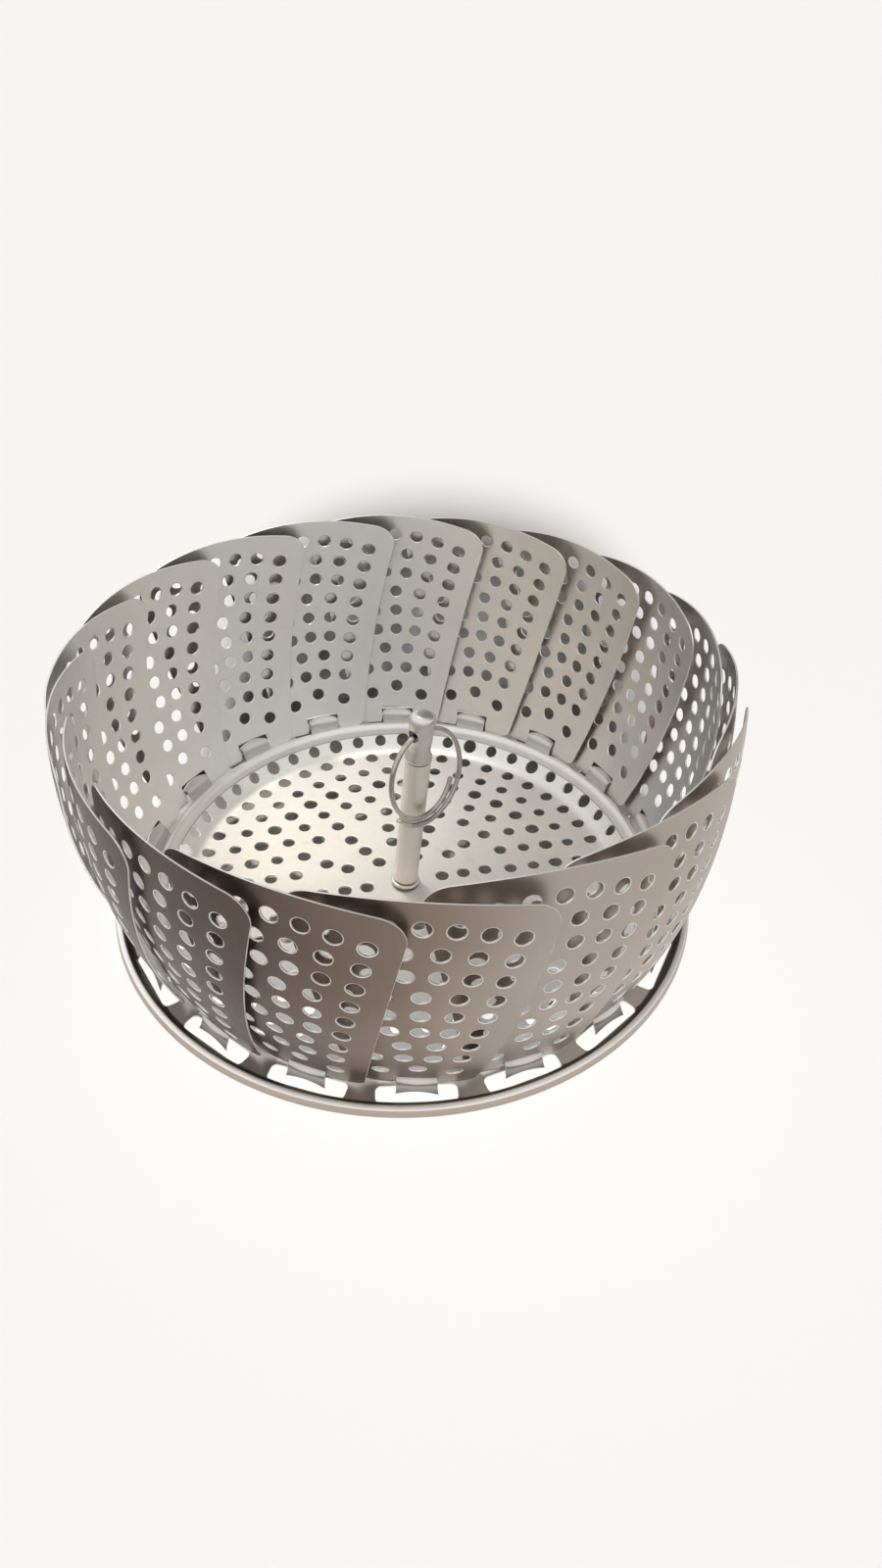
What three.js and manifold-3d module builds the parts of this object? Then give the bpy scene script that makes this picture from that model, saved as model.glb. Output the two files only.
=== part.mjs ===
// Folding steamer basket: a perforated base plate, overlapping hinged leaves, a centre post
// with a lift ring, and three folding legs under the floor.
// Millimetres, +Z up. The feet stand on z = 0 and the basket's axis is the Z axis.
import * as THREE from 'three';
import { mergeGeometries, mergeVertices } from 'three/addons/utils/BufferGeometryUtils.js';
import Module from 'manifold-3d';

const wasm = await Module();
wasm.setup();

const rad = THREE.MathUtils.degToRad;

// Base plate: one stamped sheet set out inward from the rim, heights from the top of the floor
const RIM_RADIUS = 69.85;
const FLOOR_TOP = 16.6;
const SHEET = 0.6;
const BEAD_OUTER = RIM_RADIUS - 8.35;
const FLOOR_RADIUS = BEAD_OUTER - 7.3;
const WALL_HEIGHT = 3.5;
const FLANGE_HEIGHT = 3.6;
const BEAD_HEIGHT = 6.05;
const RIM_HEIGHT = 5.6;
const RIM_EDGE_HEIGHT = 3.3;
const BASE_SEGMENTS = 54;
const BASE_TOP_LINE = [
  [0, 0], [FLOOR_RADIUS, 0], [BEAD_OUTER - 3.5, WALL_HEIGHT], [BEAD_OUTER - 2.8, BEAD_HEIGHT - 0.85],
  [BEAD_OUTER - 1.5, BEAD_HEIGHT], [BEAD_OUTER - 0.3, BEAD_HEIGHT - 0.45], [BEAD_OUTER, BEAD_HEIGHT - 1.65],
  [BEAD_OUTER, FLANGE_HEIGHT], [RIM_RADIUS - 3.05, FLANGE_HEIGHT], [RIM_RADIUS - 2.8, RIM_HEIGHT - 0.9],
  [RIM_RADIUS - 1.65, RIM_HEIGHT], [RIM_RADIUS - 0.25, RIM_HEIGHT - 0.4], [RIM_RADIUS, RIM_EDGE_HEIGHT],
];

// Steam holes: rings of holes, each ring's radius as a share of the rim's, its first hole in degrees
const HOLE_SIDES = 4;
const HOLE_RINGS = [
  { count: 54, share: 0.812, phase: 173.3, diameter: 3.0 },
  { count: 48, share: 0.739, phase: 170.8, diameter: 3.2 },
  { count: 42, share: 0.650, phase: 167.6, diameter: 2.9 },
  { count: 36, share: 0.5655, phase: 173.3, diameter: 3.4 },
  { count: 30, share: 0.481, phase: 169.2, diameter: 2.9 },
  { count: 24, share: 0.3937, phase: 178.1, diameter: 3.1 },
  { count: 12, share: 0.2992, phase: 134.9, diameter: 3.2 },
  { count: 12, share: 0.2176, phase: 134.9, diameter: 3.2 },
  { count: 6, share: 0.1382, phase: 135.5, diameter: 3.2 },
];
const STUD_HOLE = { radius: 2.6, sides: 16 };
const HOLE_CUT_LENGTH = 12;

// Leaves: thin petals bent in both directions, each hung on a tongue of the base plate
const LEAF_COUNT = 18;
const LEAF_PHASE = 14.8;
const LEAF = {
  thickness: 0.4,
  length: 60.0,
  drop: 0.9,
  bottomWidth: 24.0,
  topWidth: 49.4,
  topArch: 3.0,
  topCorner: 5.0,
  bottomCorner: 2.9,
  bottomFlat: 0.65,
  topFlat: 0.76,
  leanBottom: rad(22.7),
  leanTop: rad(-6.4),
  yawBottom: 0.075,
  yawTop: 0.124,
  crossCurve: -0.0088,
};

// Leaf openings: every second space between these lines, across the leaf and up it, is cut out.
// They are a plain grid that stands for rows of many small round holes
const LEAF_COLUMN_LINES = [-1, -0.79, -0.58, -0.33, -0.12, 0.12, 0.33, 0.58, 0.79, 1];
const LEAF_ROW_LINES = [0, 0.125, 0.21, 0.305, 0.39, 0.485, 0.57, 0.665, 0.75, 0.845, 0.93, 1];
const HINGE_RADIUS = BEAD_OUTER + 1.9;
const HINGE_HEIGHT = 6.8;
const HINGE_AXIS = new THREE.Vector3(0.0539, 1, 0.0591).normalize();

// Degrees that the leaves at the right sit further in at rest, and how much less each next leaf does
const LEAF_SET_IN = { 15: 2.3, 16: 2.6, 17: 2.6, 18: 2.6 };
const SET_IN_EASE = 0.35;
const SLOT = { width: 9.0, bottom: 0.8, top: 2.3, depth: 8 };
const TONGUE = { width: 8.0, inner: 1.2, outer: 1.7, root: 3.3, end: 4.7 };
const WINDOW = { inner: BEAD_OUTER + 0.9, outer: RIM_RADIUS - 3.55, width: 16.6, corner: 1.2, cut: [1.5, 5.0] };

// Centre post, leaning as the basket in the photograph does, with a stud through the floor
const POST_LEAN = rad(4.3);
const POST_SEGMENTS = 20;
const STUD_RADIUS = 1.8;
const STUD_BOTTOM = -5.2;
const SHAFT = { radius: 3.0, bottom: 1.7, top: 38.8, socketRadius: 1.9, socketDepth: 6 };
const COLLAR = { outer: 3.6, inner: 2.15, bottom: 0.6, top: 1.4 };
const NUT = { outer: 4.0, inner: 2.15, top: -1.3, height: 3.0 };
const HEAD = { stubRadius: 1.55, stubLength: 5.5, bottom: 39.1, shoulder: 3.25, waist: 2.9, dome: 3.1, top: 51.9 };
const CROSS_HOLE = { height: 46.6, radius: 1.5, azimuth: rad(47.9), length: 10, sides: 14 };

// Lift ring: one round wire, a little over one turn, its ends side by side
const RING = { radius: 11.15, wire: 0.7, pitch: 1.7, start: -245, end: 212, lean: rad(13.9), steps: 46, sides: 8 };

// Folding legs: a strip curled round a pin in a small bracket under the floor
const LEG_COUNT = 3;
const LEG_PHASE = 90;
const LEG_RADIUS = 38;
const LEG = { width: 7.6, eye: 1.9, bore: 1.05, sheet: 0.9, splay: 2.2, foot: 4.5 };
const PIN = { radius: 0.9, height: 12.9, headRadius: 1.6, headInner: 5.1, headOuter: 5.7, segments: 14 };
const BRACKET = { sheet: 0.6, innerWidth: 8.4, length: 6.0, top: 15.7, earBottom: 10.9 };

const STEEL = { color: 0xb9b4ab, metalness: 1.0, roughness: 0.34 };
const DARK_STEEL = { color: 0x9a938a, metalness: 1.0, roughness: 0.42 };
const BRIGHT_STEEL = { color: 0xc9c5be, metalness: 1.0, roughness: 0.22 };

// Only positions are kept, so that corners shared by faces become one vertex
function weld(geometry) {
  const bare = geometry.clone();
  bare.deleteAttribute('normal');
  bare.deleteAttribute('uv');
  const merged = mergeVertices(bare, 1e-4);
  const index = merged.getIndex().array;
  const kept = [];
  for (let i = 0; i < index.length; i += 3) {
    const [a, b, c] = [index[i], index[i + 1], index[i + 2]];
    if (a !== b && b !== c && c !== a) kept.push(a, b, c);
  }
  merged.setIndex(kept);
  return merged;
}

function toSolid(geometry) {
  const merged = weld(geometry);
  return new wasm.Manifold(new wasm.Mesh({
    numProp: 3,
    vertProperties: new Float32Array(merged.getAttribute('position').array),
    triVerts: new Uint32Array(merged.getIndex().array),
  }));
}

function toGeometry(solid) {
  const mesh = solid.getMesh();
  const geometry = new THREE.BufferGeometry();
  geometry.setAttribute('position', new THREE.BufferAttribute(mesh.vertProperties, 3));
  geometry.setIndex(new THREE.BufferAttribute(mesh.triVerts, 1));
  geometry.computeVertexNormals();
  return geometry;
}

function makeMesh(name, geometry, look) {
  const mesh = new THREE.Mesh(geometry, new THREE.MeshStandardMaterial(look));
  mesh.name = name;
  return mesh;
}

// A turned solid about Z from a closed outline of [radius, height] points
function turned(points, segments) {
  const outline = points.map(([r, z]) => new THREE.Vector2(r, z));
  return weld(new THREE.LatheGeometry(outline, segments).rotateX(Math.PI / 2));
}

// An upright prism of a flat outline, from one height to another
function upright(shape, bottom, top, curveSegments = 4) {
  const depth = top - bottom;
  return new THREE.ExtrudeGeometry(shape, { depth, bevelEnabled: false, curveSegments }).translate(0, 0, bottom);
}

// A side outline in the radial plane, extruded across the tangent and centred on it
function across(shape, width, curveSegments) {
  const sheet = new THREE.ExtrudeGeometry(shape, { depth: width, bevelEnabled: false, curveSegments });
  return sheet.rotateX(Math.PI / 2).translate(0, width / 2, 0);
}

// A round bar along Y
function barAlongY(radius, length, sides) {
  return new THREE.CylinderGeometry(radius, radius, length, sides);
}

// Copies of one geometry set round the Z axis
function ringOf(geometry, count, phase) {
  const copies = [];
  for (let i = 0; i < count; i += 1) {
    copies.push(geometry.clone().rotateZ(rad(phase + (360 / count) * i)));
  }
  return mergeGeometries(copies);
}

// The underside of the sheet: its top line moved one thickness along the mitred normals
function sheetOutline(line, thickness) {
  const top = line.map(([r, z]) => new THREE.Vector2(r, z));
  const under = top.map((point, i) => {
    const before = point.clone().sub(top[Math.max(i - 1, 0)]).normalize();
    const after = top[Math.min(i + 1, top.length - 1)].clone().sub(point).normalize();
    const along = before.add(after).normalize();
    const turn = Math.max(0.7, Math.abs(along.dot(i === 0 ? along : top[i].clone().sub(top[i - 1]).normalize())));
    return new THREE.Vector2(point.x + (along.y * thickness) / turn, point.y - (along.x * thickness) / turn);
  });
  under[0].x = 0;
  return [...under, ...top.reverse()].map((p) => [p.x, p.y]);
}

function steamHoles() {
  const holes = HOLE_RINGS.map(({ count, share, phase, diameter }) => {
    const hole = new THREE.CylinderGeometry(diameter / 2, diameter / 2, HOLE_CUT_LENGTH, HOLE_SIDES);
    return ringOf(hole.rotateX(Math.PI / 2).translate(share * RIM_RADIUS, 0, 0), count, phase);
  });
  const stud = new THREE.CylinderGeometry(STUD_HOLE.radius, STUD_HOLE.radius, HOLE_CUT_LENGTH, STUD_HOLE.sides);
  return mergeGeometries([...holes, stud.rotateX(Math.PI / 2)]);
}

function windowShape() {
  const { inner, outer, width, corner } = WINDOW;
  const half = width / 2;
  const shape = new THREE.Shape();
  shape.moveTo(inner, -half + corner);
  shape.absarc(inner + corner, -half + corner, corner, Math.PI, 1.5 * Math.PI, false);
  shape.absarc(outer - corner, -half + corner, corner, 1.5 * Math.PI, 2 * Math.PI, false);
  shape.absarc(outer - corner, half - corner, corner, 0, 0.5 * Math.PI, false);
  shape.absarc(inner + corner, half - corner, corner, 0.5 * Math.PI, Math.PI, false);
  return shape;
}

function tongueShape() {
  const { inner, outer, root, end } = TONGUE;
  const shape = new THREE.Shape();
  shape.moveTo(HINGE_RADIUS - outer, root);
  shape.lineTo(HINGE_RADIUS - outer, HINGE_HEIGHT);
  shape.absarc(HINGE_RADIUS, HINGE_HEIGHT, outer, Math.PI, 0, true);
  shape.lineTo(HINGE_RADIUS + outer, end);
  shape.lineTo(HINGE_RADIUS + inner, end);
  shape.lineTo(HINGE_RADIUS + inner, HINGE_HEIGHT);
  shape.absarc(HINGE_RADIUS, HINGE_HEIGHT, inner, 0, Math.PI, false);
  shape.lineTo(HINGE_RADIUS - inner, root);
  return shape;
}

function basePlate() {
  const windows = ringOf(upright(windowShape(), ...WINDOW.cut, 1), LEAF_COUNT, LEAF_PHASE);
  const tongues = ringOf(across(tongueShape(), TONGUE.width, 4), LEAF_COUNT, LEAF_PHASE);
  const plate = toSolid(turned(sheetOutline(BASE_TOP_LINE, SHEET), BASE_SEGMENTS).rotateZ(rad(LEAF_PHASE)));
  const cut = plate.subtract(toSolid(steamHoles())).subtract(toSolid(windows));
  return toGeometry(cut.add(toSolid(tongues)));
}

// Point of a leaf's middle surface: u across it, s along it from the hinge line
function leafPoint(u, s) {
  const { length, leanBottom, leanTop, yawBottom, yawTop, crossCurve } = LEAF;
  const bend = (leanTop - leanBottom) / length;
  const lean = leanBottom + bend * s;
  const yaw = yawBottom + ((yawTop - yawBottom) * Math.max(s, 0)) / length;
  const across = u / Math.hypot(1, yaw);
  return new THREE.Vector3(
    HINGE_RADIUS - (Math.cos(lean) - Math.cos(leanBottom)) / bend + yaw * across + crossCurve * u * u,
    across,
    HINGE_HEIGHT + (Math.sin(lean) - Math.sin(leanBottom)) / bend,
  );
}

function leafNormal(u, s) {
  const step = 0.05;
  const acrossLeaf = leafPoint(u + step, s).sub(leafPoint(u - step, s));
  const alongLeaf = leafPoint(u, s + step).sub(leafPoint(u, s - step));
  return acrossLeaf.cross(alongLeaf).normalize();
}

// How far a rounded corner pulls the edge back, for a place across the leaf from -1 to 1
function cornerRise(place, flat, size) {
  const into = Math.max(0, (Math.abs(place) - flat) / (1 - flat));
  return size * (1 - Math.sqrt(Math.max(0, 1 - into * into)));
}

// Point at a place across the leaf, a share of its height, and a distance off its middle surface
function leafSheetPoint(place, share, lift) {
  const { length, drop, bottomWidth, topWidth, topArch } = LEAF;
  const low = -drop + cornerRise(place, LEAF.bottomFlat, LEAF.bottomCorner);
  const high = length - topArch * place * place - cornerRise(place, LEAF.topFlat, LEAF.topCorner);
  const s = low + (high - low) * share;
  const u = place * 0.5 * (bottomWidth + ((topWidth - bottomWidth) * s) / length);
  return leafPoint(u, s).addScaledVector(leafNormal(u, s), lift);
}

function isLeafSheet(i, j) {
  const inside = i >= 0 && j >= 0 && i < LEAF_COLUMN_LINES.length - 1 && j < LEAF_ROW_LINES.length - 1;
  return inside && !(i % 2 === 1 && j % 2 === 1);
}

// The leaf's two faces over the grid, walled wherever sheet meets an opening or the leaf's edge
function leafSheet() {
  const half = LEAF.thickness / 2;
  const points = LEAF_ROW_LINES.flatMap((share) => LEAF_COLUMN_LINES.flatMap((place) => [
    leafSheetPoint(place, share, -half), leafSheetPoint(place, share, half),
  ]));
  const inner = (i, j) => 2 * (j * LEAF_COLUMN_LINES.length + i);
  const outer = (i, j) => inner(i, j) + 1;
  const index = [];
  const quad = (a, b, c, d) => index.push(a, b, c, a, c, d);
  LEAF_ROW_LINES.forEach((_, j) => LEAF_COLUMN_LINES.forEach((__, i) => {
    if (!isLeafSheet(i, j)) return;
    const corners = [[i, j], [i + 1, j], [i + 1, j + 1], [i, j + 1]];
    const beside = [[i, j - 1], [i + 1, j], [i, j + 1], [i - 1, j]];
    quad(...corners.map((corner) => outer(...corner)));
    quad(...corners.map((corner) => inner(...corner)).reverse());
    corners.forEach((from, side) => {
      const to = corners[(side + 1) % corners.length];
      if (!isLeafSheet(...beside[side])) quad(outer(...to), outer(...from), inner(...from), inner(...to));
    });
  }));
  return new THREE.BufferGeometry().setFromPoints(points).setIndex(index);
}

function leafGeometry() {
  const middle = leafPoint(0, (SLOT.bottom + SLOT.top) / 2);
  const slot = new THREE.BoxGeometry(SLOT.depth, SLOT.width, SLOT.top - SLOT.bottom);
  slot.rotateY(LEAF.leanBottom).rotateZ(Math.atan(-LEAF.yawBottom)).translate(middle.x, middle.y, middle.z);
  return toGeometry(toSolid(leafSheet()).subtract(toSolid(slot)));
}

function setInOf(number) {
  return LEAF_SET_IN[number] ?? Math.max(0, LEAF_SET_IN[LEAF_COUNT] - SET_IN_EASE * number);
}

// Each leaf is turned about its own hinge, then round the basket
function addLeaves(basket) {
  const geometry = leafGeometry();
  const hinge = leafPoint(0, 0);
  for (let number = 1; number <= LEAF_COUNT; number += 1) {
    const leaf = makeMesh(`leaf_${String(number).padStart(2, '0')}`, geometry, STEEL);
    const azimuth = rad(LEAF_PHASE + (360 / LEAF_COUNT) * (number - 1));
    const spin = new THREE.Quaternion().setFromAxisAngle(new THREE.Vector3(0, 0, 1), azimuth);
    const setIn = new THREE.Quaternion().setFromAxisAngle(HINGE_AXIS, -rad(setInOf(number)));
    leaf.position.copy(hinge).sub(hinge.clone().applyQuaternion(setIn)).applyQuaternion(spin);
    leaf.quaternion.copy(spin).multiply(setIn);
    basket.add(leaf);
  }
}

function postShaft() {
  const { radius, bottom, top, socketRadius, socketDepth } = SHAFT;
  return turned([
    [0, STUD_BOTTOM], [STUD_RADIUS, STUD_BOTTOM], [STUD_RADIUS, bottom], [radius, bottom], [radius, top],
    [socketRadius, top], [socketRadius, top - socketDepth], [0, top - socketDepth],
  ], POST_SEGMENTS);
}

function postHead() {
  const { stubRadius, stubLength, bottom, shoulder, waist, dome, top } = HEAD;
  const body = turned([
    [0, bottom - stubLength], [stubRadius, bottom - stubLength], [stubRadius, bottom],
    [waist, bottom], [shoulder, bottom + 0.6], [shoulder, bottom + 1.4], [waist, bottom + 2.1],
    [waist, top - 2.4], [dome, top - 1.9], [dome - 0.4, top - 0.8], [dome - 1.5, top - 0.15], [0, top],
  ], POST_SEGMENTS);
  const hole = barAlongY(CROSS_HOLE.radius, CROSS_HOLE.length, CROSS_HOLE.sides);
  hole.rotateZ(CROSS_HOLE.azimuth - Math.PI / 2).translate(0, 0, CROSS_HOLE.height);
  return toGeometry(toSolid(body).subtract(toSolid(hole)));
}

function postCollar() {
  const { outer, inner, bottom, top } = COLLAR;
  return turned([[inner, bottom], [outer, bottom], [outer, top], [inner, top], [inner, bottom]], POST_SEGMENTS);
}

function postNut() {
  const shape = new THREE.Shape();
  for (let i = 0; i < 6; i += 1) {
    const corner = new THREE.Vector2(NUT.outer, 0).rotateAround(new THREE.Vector2(), rad(60 * i));
    shape[i === 0 ? 'moveTo' : 'lineTo'](corner.x, corner.y);
  }
  const bore = new THREE.Path();
  bore.absarc(0, 0, NUT.inner, 0, 2 * Math.PI, true);
  shape.holes.push(bore);
  return upright(shape, NUT.top - NUT.height, NUT.top, 8);
}

// The ring's wire: it passes through the cross hole at angle 0 and spirals slowly outward
class RingWire extends THREE.Curve {
  getPoint(t, target = new THREE.Vector3()) {
    const degrees = RING.start + (RING.end - RING.start) * t;
    const radius = RING.radius + (RING.pitch * degrees) / 360;
    const { azimuth, height } = CROSS_HOLE;
    const alongHole = new THREE.Vector3(Math.cos(azimuth), Math.sin(azimuth), 0);
    const away = new THREE.Vector3(Math.sin(azimuth), -Math.cos(azimuth), 0);
    const down = away.multiplyScalar(Math.sin(RING.lean)).add(new THREE.Vector3(0, 0, -Math.cos(RING.lean)));
    target.set(0, 0, height).addScaledVector(down, RING.radius - radius * Math.cos(rad(degrees)));
    return target.addScaledVector(alongHole, radius * Math.sin(rad(degrees)));
  }
}

function liftRing() {
  const section = new THREE.Shape();
  section.absarc(0, 0, RING.wire, 0, 2 * Math.PI, false);
  const wire = { steps: RING.steps, extrudePath: new RingWire(), bevelEnabled: false, curveSegments: RING.sides / 2 };
  return new THREE.ExtrudeGeometry(section, wire);
}

function addPost(basket) {
  const post = new THREE.Group();
  post.position.z = FLOOR_TOP;
  post.rotation.y = POST_LEAN;
  post.add(
    makeMesh('post_shaft', postShaft(), DARK_STEEL),
    makeMesh('post_head', postHead(), BRIGHT_STEEL),
    makeMesh('post_collar', postCollar(), STEEL),
    makeMesh('post_nut', postNut(), STEEL),
    makeMesh('lift_ring', liftRing(), BRIGHT_STEEL),
  );
  basket.add(post);
}

function legBracket() {
  const { sheet, innerWidth, length, top, earBottom } = BRACKET;
  const half = innerWidth / 2;
  const shape = new THREE.Shape([
    [-half - sheet, earBottom], [-half, earBottom], [-half, top - sheet], [half, top - sheet],
    [half, earBottom], [half + sheet, earBottom], [half + sheet, top], [-half - sheet, top],
  ].map(([y, z]) => new THREE.Vector2(y, z)));
  const channel = new THREE.ExtrudeGeometry(shape, { depth: length, bevelEnabled: false });
  channel.translate(0, 0, -length / 2).rotateX(Math.PI / 2).rotateZ(Math.PI / 2);
  const hole = barAlongY(LEG.bore, 2 * innerWidth, PIN.segments).translate(0, 0, PIN.height);
  return toGeometry(toSolid(channel).subtract(toSolid(hole)));
}

function legPin() {
  const { radius, headRadius, headInner, headOuter, segments, height } = PIN;
  const pin = turned([
    [0, -headOuter], [headRadius, -headOuter], [headRadius, -headInner], [radius, -headInner],
    [radius, headInner], [headRadius, headInner], [headRadius, headOuter], [0, headOuter],
  ], segments);
  return pin.rotateX(Math.PI / 2).translate(0, 0, height);
}

// The leg splays outward a little, so that the load holds it open against its stop
function legStrip() {
  const { width, eye, bore, sheet, splay, foot } = LEG;
  const half = sheet / 2;
  const shape = new THREE.Shape([
    [-half, PIN.height], [splay - half, 0], [splay + foot - half, 0],
    [splay + foot - half, sheet], [splay + half, sheet], [half, PIN.height],
  ].map(([x, z]) => new THREE.Vector2(x, z)));
  const curl = barAlongY(eye, width, PIN.segments).translate(0, 0, PIN.height);
  const hole = barAlongY(bore, 2 * width, PIN.segments).translate(0, 0, PIN.height);
  return toGeometry(toSolid(across(shape, width)).add(toSolid(curl)).subtract(toSolid(hole)));
}

function addLegs(basket) {
  for (let i = 0; i < LEG_COUNT; i += 1) {
    const corner = new THREE.Group();
    const azimuth = rad(LEG_PHASE + (360 / LEG_COUNT) * i);
    corner.rotation.z = azimuth;
    corner.position.set(LEG_RADIUS * Math.cos(azimuth), LEG_RADIUS * Math.sin(azimuth), 0);
    corner.add(
      makeMesh(`leg_bracket_${i + 1}`, legBracket(), STEEL),
      makeMesh(`leg_pin_${i + 1}`, legPin(), BRIGHT_STEEL),
      makeMesh(`leg_${i + 1}`, legStrip(), STEEL),
    );
    basket.add(corner);
  }
}

const basket = new THREE.Group();
const bowl = new THREE.Group();
bowl.position.z = FLOOR_TOP;
bowl.add(makeMesh('base_plate', basePlate(), STEEL));
addLeaves(bowl);
basket.add(bowl);
addPost(basket);
addLegs(basket);

export default basket;
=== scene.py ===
"""Folding steamer basket in stainless sheet: perforated base, petals, centre post, ring and legs.

Lengths are millimetres until a mesh is written, and heights of the bowl count from the floor's top face.
"""

import logging
from dataclasses import dataclass, field, replace
from enum import Enum
from typing import Callable

import bpy
import numpy as np
from mathutils import Matrix, Vector
from mathutils.geometry import delaunay_2d_cdt


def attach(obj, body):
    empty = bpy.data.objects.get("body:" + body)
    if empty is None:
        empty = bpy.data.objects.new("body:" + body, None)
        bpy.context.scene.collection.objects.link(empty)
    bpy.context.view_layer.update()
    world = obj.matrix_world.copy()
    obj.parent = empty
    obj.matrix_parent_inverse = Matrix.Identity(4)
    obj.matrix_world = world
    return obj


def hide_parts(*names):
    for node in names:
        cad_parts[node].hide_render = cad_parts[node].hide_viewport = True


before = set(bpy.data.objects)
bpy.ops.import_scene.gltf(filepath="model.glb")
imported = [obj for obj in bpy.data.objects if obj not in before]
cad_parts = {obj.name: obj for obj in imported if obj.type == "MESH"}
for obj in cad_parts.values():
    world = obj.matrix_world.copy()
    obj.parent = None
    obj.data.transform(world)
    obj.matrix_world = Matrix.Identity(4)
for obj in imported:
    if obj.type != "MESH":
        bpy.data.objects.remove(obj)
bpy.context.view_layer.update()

LOG = logging.getLogger("steamer")
IMAGE_LONG_SIDE = 1600

# Metres in a millimetre, and units of the flat texture map in a millimetre.
MM = 0.001
FLAT_SCALE = 0.01
# Edges that turn by more than this many degrees stay sharp where a skin has no normals of its own.
SHARP_ANGLE = 38.0

# Sizes that several pieces share, as in the frame.
FLOOR_TOP = 16.6
RIM_RADIUS = 69.85
BEAD_OUTER = RIM_RADIUS - 8.35
LEAF_COUNT = 18
LEAF_PHASE = 14.8
LEAF_STEP = 360.0 / LEAF_COUNT
HINGE_RADIUS = BEAD_OUTER + 1.9
HINGE_HEIGHT = 6.8
HINGE_WAY = np.array([0.0539, 1.0, 0.0591])
HINGE_AXIS = HINGE_WAY / np.linalg.norm(HINGE_WAY)
POST_LEAN = 4.3

Array = np.ndarray
Point = tuple[float, float]
Colour = tuple[float, float, float]
Change = Callable[[Array], Array]
Place = Callable[[Array, Array], Array]


class Body(Enum):
    """Bodies of the frame that pieces ride on, by kind."""

    BASE = "base"
    RING = "lift_ring"


class Slot(Enum):
    """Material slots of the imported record."""

    BASE = "base_steel"
    LEAF = "leaf_steel"
    POST = "post_steel"
    BRIGHT = "bright_steel"
    LEG = "leg_steel"


class BandsOver(Enum):
    """What the bands of tone on a sheet, which carry painted shade, highlight and reflection, are measured
    along.
    """

    DISTANCE = "distance from the middle or foot of the flat sheet"
    WIDTH = "the basket's X axis"


class Grain(Enum):
    """Direction of the fine lines that rolling or polishing leaves, as stretch along U and V."""

    LENGTHWISE = (90.0, 3.0)
    CROSSWISE = (3.0, 90.0)
    ROUND = (40.0, 40.0)


def turn_about_z(points: Array, degrees: float) -> Array:
    """Rotates points about the Z axis.

    Args:
        points: Array whose last axis is x, y, z.
        degrees: Angle, counter-clockwise seen from above.

    Returns:
        The turned points.
    """
    angle = np.radians(degrees)
    cos, sin = np.cos(angle), np.sin(angle)
    return points @ np.array([[cos, sin, 0.0], [-sin, cos, 0.0], [0.0, 0.0, 1.0]])


def turn_about_axis(vectors: Array, axis: Array, degrees: float) -> Array:
    """Turns vectors about an axis through the origin, by the sum of their shares along and round it.

    Args:
        vectors: Vectors, shape (n, 3).
        axis: Unit vector of the axis.
        degrees: Angle of the turn.

    Returns:
        The turned vectors.
    """
    cos, sin = np.cos(np.radians(degrees)), np.sin(np.radians(degrees))
    along = np.outer(vectors @ axis, axis)
    return vectors * cos + np.cross(axis, vectors) * sin + along * (1.0 - cos)


def unit(vectors: Array) -> Array:
    """Returns vectors scaled to length one along the last axis."""
    return vectors / np.maximum(np.linalg.norm(vectors, axis=-1, keepdims=True), 1e-12)


def leaf_azimuth(index: int | Array) -> float | Array:
    """Azimuth of a leaf in degrees, counted from 0."""
    return LEAF_PHASE + LEAF_STEP * index


def circle(count: int, turns: float = 1.0) -> Array:
    """Unit vectors at even steps round a circle, clockwise where turns is -1."""
    angle = turns * 2 * np.pi * np.arange(count) / count
    return np.stack([np.cos(angle), np.sin(angle)], axis=-1)


def grid_points(first: Array, second: Array) -> Array:
    """Flat points for every pair of a first and a second coordinate."""
    along, across = np.meshgrid(first, second)
    return np.stack([along.ravel(), across.ravel()], axis=-1)


def travelled(points: Array) -> Array:
    """Length along a line of points, at each of them."""
    steps = np.linalg.norm(np.diff(points, axis=0), axis=1)
    return np.concatenate([[0.0], np.cumsum(steps)])


def link_object(name: str, data: bpy.types.ID) -> bpy.types.Object:
    """Makes an object at the origin and links it to the scene."""
    made = bpy.data.objects.new(name, data)
    bpy.context.scene.collection.objects.link(made)
    return made


def rounded_line(corners: Array, radius: float | Array, steps: int = 6) -> Array:
    """Rounds the inner corners of an open line with parabolic arcs.

    Each corner is cut back by the radius, or by just under half of its shorter leg, and bridged by
    a quadratic curve with the corner as its control point.

    Args:
        corners: Points of the line, shape (n, 2).
        radius: Cut-back distance from each corner, or one distance for each inner corner as a column.
        steps: Points on each arc.

    Returns:
        Points of the rounded line.
    """
    most = 0.48
    before, corner, after = corners[:-2], corners[1:-1], corners[2:]
    back, ahead = before - corner, after - corner
    length_back = np.linalg.norm(back, axis=1, keepdims=True)
    length_ahead = np.linalg.norm(ahead, axis=1, keepdims=True)
    cut = np.minimum(radius, most * np.minimum(length_back, length_ahead))
    start, end = corner + back / length_back * cut, corner + ahead / length_ahead * cut
    t = np.linspace(0.0, 1.0, steps)[None, :, None]
    arcs = (1 - t) ** 2 * start[:, None] + 2 * t * (1 - t) * corner[:, None] + t**2 * end[:, None]
    return np.vstack([corners[:1], arcs.reshape(-1, 2), corners[-1:]])


def arc_points(centre: Point, radius: float, start: float, end: float, count: int) -> Array:
    """Returns points on a circular arc between two angles in degrees."""
    angle = np.radians(np.linspace(start, end, count))
    return np.stack([centre[0] + radius * np.cos(angle), centre[1] + radius * np.sin(angle)], axis=-1)


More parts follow.
